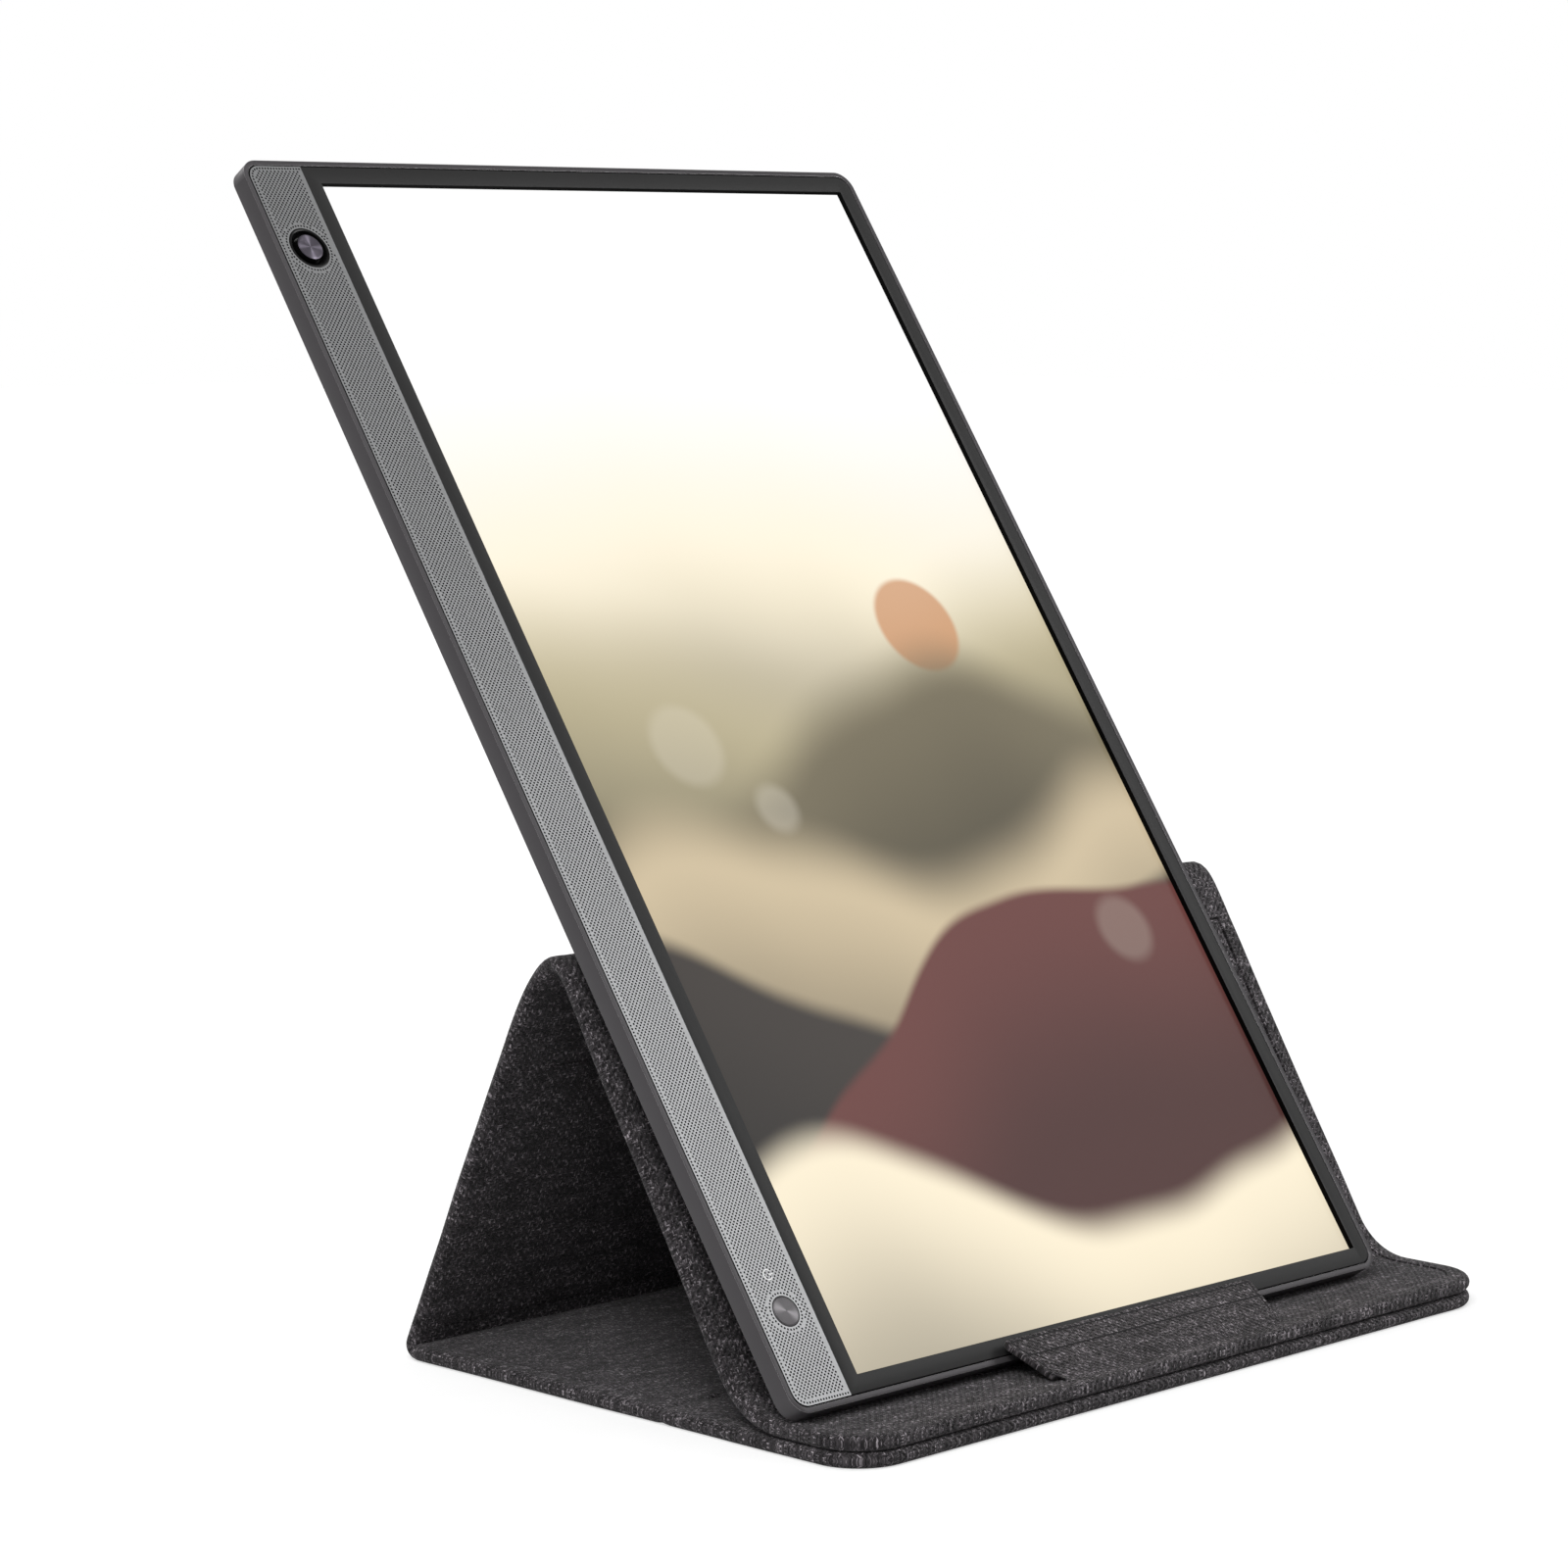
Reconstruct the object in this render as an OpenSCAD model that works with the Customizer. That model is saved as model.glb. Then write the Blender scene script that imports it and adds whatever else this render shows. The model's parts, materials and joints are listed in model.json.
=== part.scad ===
// Portable monitor standing upright in its folded fabric cover.
// X runs across the stand, Y from front to back, Z up. The origin is the middle of the
// cover's footprint on the table.

/* [Screen] */
// Width of the display opening in the front plate
view_w = 194.8; // [180:0.2:210]
// Height of the display opening in the front plate
view_h = 345; // [320:1:370]
// Front border above the display opening
border_top = 6.8; // [6.4:0.1:12]
// Front border below the display opening
border_bottom = 6.4; // [6.2:0.1:12]
// Front border on the plain long side
border_right = 6.5; // [6.3:0.1:12]
// Front border on the long side that holds the loudspeaker strip
border_left = 24.5; // [24:0.1:32]
// Lean of the screen back from upright, in degrees
screen_lean = 34.4; // [31:0.2:37]

/* [Monitor housing] */
// Greatest thickness of the monitor
body_t = 11.8; // [11.4:0.1:14]
// Depth of the upright side wall, before the back tapers
side_depth = 5.2; // [5.2:0.1:6]
// Run of the tapered border on the back
taper_run = 9; // [5:0.5:16]
// Outer corner radius of the housing
body_corner_r = 5.4; // [4:0.1:8]
// Wall of the rear shell
shell_wall = 1.4; // [1:0.1:1.8]
// Width of the metal rim round the front plate
rim_w = 1.4; // [1:0.1:1.8]
// Gap between the rim and the front plate
groove_w = 0.35; // [0.2:0.05:0.5]
// Thickness of the front plate and of the loudspeaker strip
plate_t = 1.6; // [1.2:0.1:1.8]
// Width of the loudspeaker strip
strip_w = 18; // [16:0.2:18.4]
// Gap between the loudspeaker strip and the front plate
strip_gap = 0.1; // [0.05:0.05:0.2]

/* [Buttons] */
// Distance of the menu button from the top edge
menu_from_top = 27.1; // [24:0.1:40]
// Radius of the ring round the menu button
menu_ring_r = 6.05; // [5.6:0.05:7]
// Wall of the ring round the menu button
menu_ring_wall = 0.75; // [0.5:0.05:1]
// Radius of the menu button's cap
menu_cap_r = 3.75; // [3.2:0.05:4.4]
// Height of the menu button cap above the strip
menu_rise = 0.55; // [0.3:0.05:0.9]
// Distance of the power button from the bottom edge
power_from_bottom = 25.7; // [20:0.1:40]
// Radius of the power button's cap
power_cap_r = 3.95; // [3.4:0.05:5]
// Height of the power button's cap above the front
power_rise = 0.3; // [0.1:0.1:0.6]
// Travel of both buttons
button_travel = 0.4; // [0.2:0.1:0.5]
// Running clearance round both buttons
button_gap = 0.15; // [0.1:0.05:0.3]

/* [Display stack] */
// Overlap of the display glass behind the front plate
cell_lap = 1.1; // [0.6:0.1:1.4]
// Thickness of the liquid crystal cell
cell_t = 1.2; // [0.8:0.1:1.4]
// Thickness of the diffusing films
film_t = 0.4; // [0.2:0.1:0.6]
// Thickness of the light guide
guide_t = 1.4; // [1:0.1:1.6]
// Thickness of the reflector sheet
reflector_t = 0.2; // [0.1:0.05:0.3]
// Sheet metal of the backlight tray
tray_t = 0.5; // [0.3:0.1:0.6]
// Width of the light bar along the foot of the light guide
led_bar_w = 2.4; // [2:0.1:3]

/* [Electronics] */
// Width of the main board
board_w = 86; // [70:1:110]
// Height of the main board
board_h = 58; // [50:1:90]
// Thickness of every circuit board
board_t = 1; // [0.8:0.1:1.2]
// Radius of the board screws' shanks
screw_r = 0.8; // [0.7:0.05:1]
// Radius of the board screws' heads
screw_head_r = 1.9; // [1.6:0.1:2.2]
// Length of each loudspeaker box
speaker_len = 62; // [50:1:80]
// Width of each loudspeaker box
speaker_w = 14; // [11:0.5:14.5]
// Thickness of each loudspeaker box
speaker_t = 3.6; // [3:0.1:4.5]

/* [Socket] */
// Width of the plug socket's metal sleeve
socket_w = 9; // [8.9:0.05:9.3]
// Height of the plug socket's metal sleeve
socket_h = 3.1; // [3:0.05:3.2]
// Depth of the plug socket
socket_depth = 7.4; // [6.8:0.1:8.4]
// Sheet metal of the plug socket's sleeve
socket_wall = 0.35; // [0.25:0.05:0.4]
// Distance of the socket's mouth behind the outer wall
socket_recess = 0.4; // [0.2:0.1:0.8]

/* [Cover] */
// Width of the cover panels across the stand
cover_w = 250; // [240:1:270]
// Thickness of a finished cover panel
panel_t = 4; // [3.6:0.1:4.6]
// Thickness of the outer fabric under the boards
skin_t = 1; // [0.8:0.1:1.2]
// Thickness of the lining over the boards
lining_t = 1; // [0.8:0.1:1.2]
// Distance of the lining from the rolled edge
lining_inset = 6; // [5:0.5:9]
// Corner radius of the cover's front corners, seen from above
cover_corner_r = 15; // [11:0.5:18]
// Distance between fold lines on the rear and on the leaning panel
fold_len = 119; // [112:0.5:128]
// Length of the rear panel that bows into the fold over the top
rear_bow = 31; // [20:0.5:40]
// Length of the leaning panel that turns into the fold over the top
lean_bow = 8; // [6:0.5:14]
// Pull of the top fold along the rear panel, before it turns over
rear_pull_len = 38; // [30:0.5:44]
// Pull of the top fold along the leaning panel, before it turns over
lean_pull_len = 13; // [9:0.5:18]
// Depth of the ledge in front of its fold line
ledge_depth = 41; // [40:0.5:48]
// Outside radius of the soft bend between leaning panel and ledge
bend_r = 23; // [16:0.5:25]
// Distance of the monitor's foot in front of the ledge's fold line
foot_setback = 17.3; // [15:0.1:20]
// Overhang of the monitor past the cover's left edge
left_overhang = 1.4; // [0:0.1:4]
// Gap between the ledge and the base under it
layer_gap = 0.2; // [0.1:0.05:0.3]
// Gap left where one piece rests against another
rest_gap = 0.3; // [0.2:0.05:0.4]
// Distance of the crease across the base from the rear fold line
crease_from_rear = 92; // [85:1:100]

/* [Stop tab] */
// Width of the stop tab at its free edge
tab_w = 97; // [80:1:120]
// Slant of each short side of the stop tab
tab_slant = 4; // [2:0.5:6]
// Thickness of the stop tab
tab_t = 1.8; // [1.6:0.1:2.2]
// Distance of the stop tab's hinge line behind the front edge
tab_setback = 7.3; // [6:0.1:9]
// Height of the monitor's front that the stop tab covers
tab_cover = 4.4; // [3:0.1:6]
// Gap between the stop tab and the monitor's front
tab_clearance = 1.2; // [0.9:0.1:2]
// Sideways shift of the stop tab's middle
tab_shift = -5; // [-20:1:20]

/* [Magnets] */
// Radius of the magnets
magnet_r = 5; // [4:0.5:6]
// Distance between the two magnets of a pair
magnet_spacing = 160; // [120:5:180]

/* [Hidden] */
$fn = 48;
eps = 0.01;
fit = 0.3;

// Housing
body_w = border_left + view_w + border_right;
body_h = border_bottom + view_h + border_top;
view_x = -body_w / 2 + border_left + view_w / 2;
view_y = border_bottom + view_h / 2;
plate_inset = rim_w + groove_w;
plate_left = -body_w / 2 + plate_inset;
plate_right = body_w / 2 - plate_inset;
plate_bottom = plate_inset;
plate_top = body_h - plate_inset;
plate_corner_r = body_corner_r - rim_w;
strip_right = plate_left + strip_w;
strip_x = plate_left + strip_w / 2;
lip_w = 2.4;
lip_t = 1;
rib_w = 1.8;
rib_x = strip_right + strip_gap / 2;

// Display stack, from the front plate backwards
cell_w = view_w + 2 * cell_lap;
cell_h = view_h + 2 * cell_lap;
film_z = -plate_t - cell_t;
guide_z = film_z - film_t;
reflector_z = guide_z - guide_t;
tray_z = reflector_z - reflector_t;
tray_back_z = tray_z - tray_t;
tray_play = 0.2;
guide_h = cell_h - led_bar_w - tray_play;

// Electronics behind the tray
shell_floor_z = -body_t + shell_wall;
boss_h = 1.6;
board_z = shell_floor_z + boss_h;
board_y = 150;
board_inset = 4;
boss_r = 2.4;
screw_head_t = 0.9;
screw_grip = 0.3;
chip_t = 1.1;
// Each chip's place from the middle of the main board, across and up, then its width and height
chips = [[-16, -4, 16, 16], [14, -10, 9, 11], [16, 8, 7, 7], [-30, 12, 6, 5], [30, -2, 5, 12]];
timing_h = 9;
timing_w = 150;
timing_y = board_y + board_h / 2 + 34;
flex_w = 22;
flex_t = 0.2;
flex_stand_off = 0.6;
flex_plug_len = 5;
flex_foot_len = 4;
flex_foot_inset = 6;
clip_w = 14;
clip_t = 1;
clip_gap = 0.1;
clip_reach = 1.6;
clip_root = 0.6;
socket_play = 0.1;
socket_back = 0.8;
socket_z = -plate_t - 0.15 - socket_h;
tongue_w = 6.7;
tongue_t = 0.7;
strip_board_w = 13;
strip_board_z = socket_z - board_t;
strip_boss_r = 1.6;
strip_boss_from_end = 9;
io_board_len = 42;
io_board_y = body_h - rim_w - 2 - io_board_len / 2;
power_board_len = 30;
menu_y = body_h - menu_from_top;
power_y = power_from_bottom;
power_x = strip_x + 0.3;
switch_w = 4.5;
switch_h = 1.4;
switch_z = strip_board_z + board_t;
stem_r = 1.4;
stem_end_z = switch_z + switch_h + button_travel + 0.1;
catch_t = 0.3;
catch_w = 0.8;
catch_gap = 0.1;
menu_flange_t = 0.9;
menu_flange_w = 0.6;
menu_flange_hole_r = stem_r + 1;
menu_cap_h = plate_t + menu_rise - button_travel - 0.1;
power_cap_h = plate_t + power_rise;
speaker_bay_left = -body_w / 2 + rim_w + lip_w;
speaker_bay_right = rib_x - rib_w / 2;
speaker_x = (speaker_bay_left + speaker_bay_right) / 2;

// Cover fold lines
fold_angle = 90 - screen_lean + 4.4;
axis_z = panel_t + layer_gap;
fold_base = 2 * fold_len * cos(fold_angle);
base_depth = fold_base + ledge_depth;
rear_axis_y = (base_depth + axis_z) / 2 - axis_z;
front_axis_y = rear_axis_y - fold_base;
front_edge_y = rear_axis_y - base_depth;
rear_rise = fold_angle + 4.7;
rear_slab_len = fold_len - rear_bow;
lean_slab_len = fold_len - lean_bow;
ledge_top_z = axis_z + panel_t;

// Monitor on the ledge: its foot rests on the ledge and its back on the leaning panel
mon_x = -cover_w / 2 - left_overhang + body_w / 2;
mon_y = front_axis_y - foot_setback - side_depth * cos(screen_lean);
mon_z = ledge_top_z + rest_gap + side_depth * sin(screen_lean);
lean_reach = sqrt(pow(lean_slab_len, 2) + pow(panel_t, 2));
lean_offset = atan2(panel_t, lean_slab_len);
axis_w = -(front_axis_y - mon_y) * cos(screen_lean) + (axis_z - mon_z) * sin(screen_lean);
lean_rise = acos((body_t + rest_gap + axis_w) / lean_reach) - lean_offset - screen_lean;
bend_run = bend_r * tan(lean_rise / 2);

// Stop tab
tab_root_y = front_edge_y + tab_setback;
tab_root_z = ledge_top_z + tab_t / 2 + fit;
tab_stand_off = tab_t / 2 + tab_clearance;
tab_tip_y = mon_y + tab_cover * sin(screen_lean) - tab_stand_off * cos(screen_lean);
tab_tip_z = mon_z + tab_cover * cos(screen_lean) + tab_stand_off * sin(screen_lean);
tab_rise = atan2(tab_tip_z - tab_root_z, tab_tip_y - tab_root_y);
tab_len = norm([tab_tip_y - tab_root_y, tab_tip_z - tab_root_z]);
stiffener_t = 0.6;
tab_root_w = tab_w - 2 * tab_slant;

// Boards inside the cover
cover_board_t = panel_t - skin_t - lining_t;
crease_w = 3;
crease_depth = 0.4;
panel_rim = 4;
tab_corner = 2;
stiffener_margin = 3;
stiffener_play = 0.4;
magnet_t = cover_board_t - 0.2;
magnet_from_front = 16;

fabric = [0.2, 0.19, 0.2];
lining = [0.24, 0.23, 0.24];
greyboard = [0.45, 0.4, 0.35];
charcoal = [0.22, 0.22, 0.22];
silver = [0.6, 0.6, 0.6];
circuit_green = [0.1, 0.35, 0.2];

// Frames of reference

// The monitor's own frame: X across, Y up the screen from its lower edge, Z out of the screen
module on_monitor() {
    translate([mon_x, mon_y, mon_z]) rotate([90 - screen_lean, 0, 0]) children();
}

// Panel frames: Y runs away from the fold line and Z points to the lined side
module on_base() {
    translate([0, rear_axis_y, 0]) rotate([0, 0, 180]) children();
}

module on_rear() {
    translate([0, rear_axis_y, axis_z]) rotate([180 - rear_rise, 0, 0])
        translate([0, 0, -panel_t]) children();
}

module on_lean() {
    translate([0, front_axis_y, axis_z]) rotate([lean_rise, 0, 0]) children();
}

module on_ledge() {
    translate([0, front_axis_y, axis_z]) rotate([0, 0, 180]) children();
}

module on_tab() {
    translate([tab_shift, tab_root_y, tab_root_z]) rotate([tab_rise, 0, 0]) children();
}

// Shared shapes

// A flat plate with its lower left corner at the origin and four round corners
module round_rect(w, h, r) {
    translate([r, 0]) square([w - 2 * r, h]);
    translate([0, r]) square([w, h - 2 * r]);
    for (x = [r, w - r], y = [r, h - r]) translate([x, y]) circle(r = r);
}

module body_outline(inset = 0) {
    translate([-body_w / 2 + inset, inset])
        round_rect(body_w - 2 * inset, body_h - 2 * inset, max(body_corner_r - inset, 0.8));
}

// An upright block of a given size, centred on x and y, standing on z
module block(x, y, z, w, h, t) {
    translate([x - w / 2, y - h / 2, z]) cube([w, h, t]);
}

// A soft panel with rolled long sides, from y0 to y1, and rolled front corners where r is given
module soft_slab(y0, y1, r = 0) {
    roll = panel_t / 2;
    side = cover_w / 2;
    hull() {
        for (s = [-1, 1]) {
            translate([s * (side - roll), y0, roll]) rotate([-90, 0, 0])
                cylinder(r = roll, h = y1 - y0 - r, $fn = 24);
            if (r > 0) translate([s * (side - r), y1 - r, roll])
                rotate_extrude(angle = 180, $fn = 32) translate([r - roll, 0])
                    circle(r = roll, $fn = 16);
        }
    }
}

// Outline of the recess for a panel's board and lining, in the panel's own frame
module recess_outline(y0, y1, r, play) {
    half = cover_w / 2 - lining_inset - play;
    low = y0 + play;
    high = y1 - play;
    translate([-half, low]) square([2 * half, high - low - r]);
    translate([-half + r, low]) square([2 * (half - r), high - low]);
    if (r > 0) intersection() {
        for (s = [-1, 1]) translate([s * (half - r), high - r]) circle(r = r);
        translate([-half, high - r - eps]) square([2 * half, r + 1]);
    }
}

module recess(y0, y1, r, z, t, play = 0) {
    translate([0, 0, z]) linear_extrude(t) recess_outline(y0, y1, r, play);
}

// A band of fabric round a fold: a ring sector in the YZ plane, as wide as the cover
module fold_band(points) {
    translate([-cover_w / 2 + 0.5, 0, 0]) rotate([90, 0, 90])
        linear_extrude(cover_w - 1) polygon(points);
}

function arc(c, r, a0, a1, n) = [
    for (i = [0 : n]) c + r * [cos(a0 + (a1 - a0) * i / n), sin(a0 + (a1 - a0) * i / n)]
];

function reversed(list) = [for (i = [len(list) - 1 : -1 : 0]) list[i]];

function ring_sector(c, r0, r1, a0, a1, n) =
    concat(arc(c, r1, a0, a1, n), reversed(arc(c, r0, a0, a1, n)));

function bezier(p, t) =
    pow(1 - t, 3) * p[0] + 3 * t * pow(1 - t, 2) * p[1]
    + 3 * t * t * (1 - t) * p[2] + pow(t, 3) * p[3];

function bezier_slope(p, t) =
    3 * pow(1 - t, 2) * (p[1] - p[0]) + 6 * t * (1 - t) * (p[2] - p[1])
    + 3 * t * t * (p[3] - p[2]);

function side_step(d, s) = s * [-d[1], d[0]] / norm(d);

// Monitor housing

module mid_frame() {
    on_monitor() color(silver) {
        difference() {
            translate([0, 0, -side_depth]) linear_extrude(side_depth) body_outline();
            translate([0, 0, -side_depth - eps]) linear_extrude(side_depth + 1)
                body_outline(rim_w);
            socket_cut();
        }
        difference() {
            translate([0, 0, -plate_t - lip_t]) linear_extrude(lip_t) difference() {
                body_outline(rim_w);
                body_outline(rim_w + lip_w);
            }
            socket_cut();
        }
        block(rib_x, body_h / 2, -side_depth, rib_w, body_h - 2 * (rim_w + lip_w) + 0.4,
            side_depth - plate_t);
    }
}

// Opening for the socket in the upper wall
module socket_cut() {
    block(strip_x, body_h, socket_z - socket_play, socket_w + 2 * socket_play,
        2 * (rim_w + lip_w + 1), socket_h + 2 * socket_play);
}

module plate_outline() {
    translate([plate_left, plate_bottom])
        round_rect(plate_right - plate_left, plate_top - plate_bottom, plate_corner_r);
}

module front_bezel() {
    on_monitor() color(charcoal) translate([0, 0, -plate_t]) linear_extrude(plate_t)
        difference() {
            plate_outline();
            translate([-body_w, -1]) square([body_w + strip_right + strip_gap, body_h + 2]);
            translate([view_x - view_w / 2, view_y - view_h / 2]) square([view_w, view_h]);
        }
}

module speaker_strip() {
    on_monitor() color(silver) translate([0, 0, -plate_t]) linear_extrude(plate_t)
        difference() {
            plate_outline();
            translate([strip_right, -1]) square([body_w, body_h + 2]);
            translate([strip_x, menu_y]) circle(r = menu_ring_r + 0.05);
            translate([power_x, power_y]) circle(r = power_cap_r + button_gap);
        }
}

module shell_solid(z0, z1, inset0, inset1) {
    hull() {
        translate([0, 0, z0]) linear_extrude(eps) body_outline(inset0);
        translate([0, 0, z1 - eps]) linear_extrude(eps) body_outline(inset1);
    }
}

module rear_shell() {
    on_monitor() color(charcoal) {
        difference() {
            shell_solid(-body_t, -side_depth, taper_run, 0);
            shell_solid(shell_floor_z, -side_depth + 0.1, taper_run + shell_wall / 2,
                shell_wall);
        }
        for (p = boss_places()) translate([p[0], p[1], shell_floor_z - 0.2]) difference() {
            cylinder(r = boss_r, h = boss_h + 0.2);
            translate([0, 0, 0.4]) cylinder(r = screw_r + 0.05, h = boss_h);
        }
        for (y = strip_boss_rows()) translate([strip_x, y, shell_floor_z - 0.2])
            cylinder(r = strip_boss_r, h = strip_board_z - shell_floor_z + 0.2);
        clip_tongues();
    }
}

// Tongues that snap the shell into the frame
module clip_tongues() {
    side = rim_w + clip_gap + clip_t / 2;
    for (x = [-0.3 * body_w, 0.3 * body_w], y = [side, body_h - side])
        block(x, y, -side_depth - clip_root, clip_w, clip_t, clip_reach + clip_root);
    for (s = [-1, 1], y = [0.2, 0.5, 0.8])
        block(s * (body_w / 2 - side), y * body_h, -side_depth - clip_root, clip_t,
            clip_w, clip_reach + clip_root);
}

function boss_places() = [
    for (x = [-1, 1], y = [-1, 1])
        [view_x + x * (board_w / 2 - board_inset), board_y + y * (board_h / 2 - board_inset)]
];

function strip_boss_rows() = [
    for (s = [-1, 1]) io_board_y + s * (io_board_len / 2 - strip_boss_from_end),
    for (s = [-1, 1]) power_y + s * (power_board_len / 2 - strip_boss_from_end)
];

// Display stack

module stack_sheet(z, t, w = cell_w, h = cell_h, y = view_y) {
    on_monitor() block(view_x, y, z - t, w, h, t);
}

module lcd_cell() {
    color([0.9, 0.9, 0.85]) stack_sheet(-plate_t, cell_t);
}

module diffuser_film() {
    color("white") stack_sheet(film_z, film_t);
}

module light_guide() {
    color([0.85, 0.9, 0.95])
        stack_sheet(guide_z, guide_t, h = guide_h, y = view_y + (cell_h - guide_h) / 2);
}

module led_bar() {
    color([0.95, 0.9, 0.6]) stack_sheet(guide_z, guide_t, h = led_bar_w,
        y = view_y - (cell_h - led_bar_w) / 2);
}

module reflector_sheet() {
    color("white") stack_sheet(reflector_z, reflector_t);
}

module backlight_tray() {
    tray_w = cell_w + 2 * (tray_play + tray_t);
    tray_h = cell_h + 2 * (tray_play + tray_t);
    wall_top = -plate_t - fit;
    on_monitor() color("lightgrey") difference() {
        block(view_x, view_y, tray_back_z, tray_w, tray_h, wall_top - tray_back_z);
        block(view_x, view_y, tray_z, cell_w + 2 * tray_play, cell_h + 2 * tray_play, 5);
    }
}

// Electronics

module timing_board() {
    on_monitor() color(circuit_green)
        block(view_x, timing_y, tray_back_z - board_t, timing_w, timing_h, board_t);
}

// Flat flexible cable from the main board up to the timing board
module panel_flex() {
    run_y0 = board_y + board_h / 2 - flex_foot_inset;
    run_y1 = timing_y;
    plug_z = tray_back_z - board_t;
    run_z = plug_z - flex_stand_off - flex_t;
    foot_z = board_z + board_t;
    on_monitor() color("orange") {
        block(view_x, (run_y0 + run_y1) / 2, run_z, flex_w, run_y1 - run_y0, flex_t);
        block(view_x, run_y1, run_z, flex_w, flex_plug_len, plug_z - run_z);
        block(view_x, run_y0 + flex_foot_len / 2, foot_z, flex_w, flex_foot_len,
            run_z + flex_t / 2 - foot_z);
    }
}

module main_board() {
    on_monitor() color(circuit_green) difference() {
        block(view_x, board_y, board_z, board_w, board_h, board_t);
        for (p = boss_places()) translate([p[0], p[1], board_z - 1])
            cylinder(r = screw_r + 0.1, h = board_t + 2);
    }
}

module board_chips() {
    on_monitor() color([0.1, 0.1, 0.1]) for (c = chips)
        block(view_x + c[0], board_y + c[1], board_z + board_t, c[2], c[3], chip_t);
}

module board_screws() {
    on_monitor() color("silver") for (p = boss_places())
        translate([p[0], p[1], board_z + board_t]) {
            cylinder(r = screw_head_r, h = screw_head_t);
            translate([0, 0, -board_t - boss_h + screw_grip])
                cylinder(r = screw_r, h = board_t + boss_h - screw_grip + eps);
        }
}

module io_board() {
    on_monitor() color(circuit_green)
        block(strip_x, io_board_y, strip_board_z, strip_board_w, io_board_len, board_t);
}

// A metal sleeve with its mouth in the upper wall and a contact tongue inside
module usb_c_socket() {
    mouth_y = body_h - socket_recess;
    back_y = mouth_y - socket_depth;
    on_monitor() color("silver") {
        difference() {
            block(strip_x, (mouth_y + back_y) / 2, socket_z, socket_w, socket_depth, socket_h);
            block(strip_x, mouth_y, socket_z + socket_wall, socket_w - 2 * socket_wall,
                2 * (socket_depth - socket_back), socket_h - 2 * socket_wall);
        }
        block(strip_x, back_y + socket_depth / 2 - 0.5, socket_z + (socket_h - tongue_t) / 2,
            tongue_w, socket_depth - 1, tongue_t);
    }
}

module power_board() {
    on_monitor() color(circuit_green)
        block(strip_x, power_y, strip_board_z, strip_board_w, power_board_len, board_t);
}

module tact_switches() {
    on_monitor() color([0.15, 0.15, 0.15]) for (p = [[strip_x, menu_y], [power_x, power_y]])
        block(p[0], p[1], switch_z, switch_w, switch_w, switch_h);
}

module speaker_box(y) {
    on_monitor() color([0.12, 0.12, 0.12])
        block(speaker_x, y, -plate_t - speaker_t, speaker_w, speaker_len, speaker_t);
}

module speaker_upper() {
    speaker_box(0.68 * body_h);
}

module speaker_lower() {
    speaker_box(0.28 * body_h);
}

// Buttons

// The ring lines the round well in the strip and its flange closes the well's floor
module menu_ring() {
    on_monitor() color([0.05, 0.05, 0.05]) translate([strip_x, menu_y, 0]) {
        difference() {
            translate([0, 0, -plate_t]) cylinder(r = menu_ring_r, h = plate_t + 0.1);
            translate([0, 0, -plate_t - 1])
                cylinder(r = menu_ring_r - menu_ring_wall, h = plate_t + 2);
        }
        difference() {
            translate([0, 0, -plate_t - menu_flange_t])
                cylinder(r = menu_ring_r + menu_flange_w, h = menu_flange_t);
            translate([0, 0, -plate_t - menu_flange_t - 1])
                cylinder(r = menu_flange_hole_r, h = menu_flange_t + 2);
        }
    }
}

// A round cap on a stem that reaches down to its switch, with a catch that holds it in
module button(x, y, cap_r, top_z, cap_h, catch_r, catch_z) {
    translate([x, y, top_z - cap_h]) cylinder(r = cap_r, h = cap_h);
    translate([x, y, stem_end_z]) cylinder(r = stem_r, h = top_z - cap_h - stem_end_z + eps);
    translate([x, y, catch_z - catch_t]) cylinder(r = catch_r, h = catch_t);
}

module menu_button() {
    on_monitor() color(silver) button(strip_x, menu_y, menu_cap_r, menu_rise, menu_cap_h,
        menu_flange_hole_r + catch_w, -plate_t - menu_flange_t - catch_gap);
}

module power_button() {
    on_monitor() color(silver) button(power_x, power_y, power_cap_r, power_rise, power_cap_h,
        power_cap_r + catch_w, -plate_t - catch_gap);
}

// Cover panels

// Tray of outer fabric with a recess for the board and the lining
module panel_skin(y0, y1, r, near_rim, far_rim) {
    difference() {
        soft_slab(y0, y1, r);
        recess(y0 + near_rim, y1 - far_rim, r > 0 ? r - lining_inset : 0, skin_t, panel_t);
    }
}

module panel_board(y0, y1, r, near_rim, far_rim) {
    recess(y0 + near_rim, y1 - far_rim, r > 0 ? r - lining_inset : 0, skin_t,
        cover_board_t, fit);
}

module panel_lining(y0, y1, r, near_rim, far_rim) {
    recess(y0 + near_rim, y1 - far_rim, r > 0 ? r - lining_inset : 0,
        skin_t + cover_board_t, lining_t, fit);
}

// Each panel's start and end, corner radius, and rims beside the fold and at the far edge
base_span = [fit, base_depth, cover_corner_r, panel_rim, lining_inset];
rear_span = [fit, rear_slab_len, 0, panel_rim, panel_rim];
lean_span = [bend_run + fit, lean_slab_len, 0, panel_rim, panel_rim];
ledge_span = [bend_run + fit, ledge_depth, cover_corner_r, panel_rim, lining_inset];

module base_skin() {
    on_base() color(fabric) difference() {
        panel_skin(base_span[0], base_span[1], base_span[2], base_span[3], base_span[4]);
        translate([-cover_w / 2 - 1, crease_from_rear - crease_w / 2, -1])
            cube([cover_w + 2, crease_w, 1 + crease_depth]);
    }
}

module base_board() {
    panel_board(base_span[0], base_span[1], base_span[2], base_span[3], base_span[4]);
}

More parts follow.
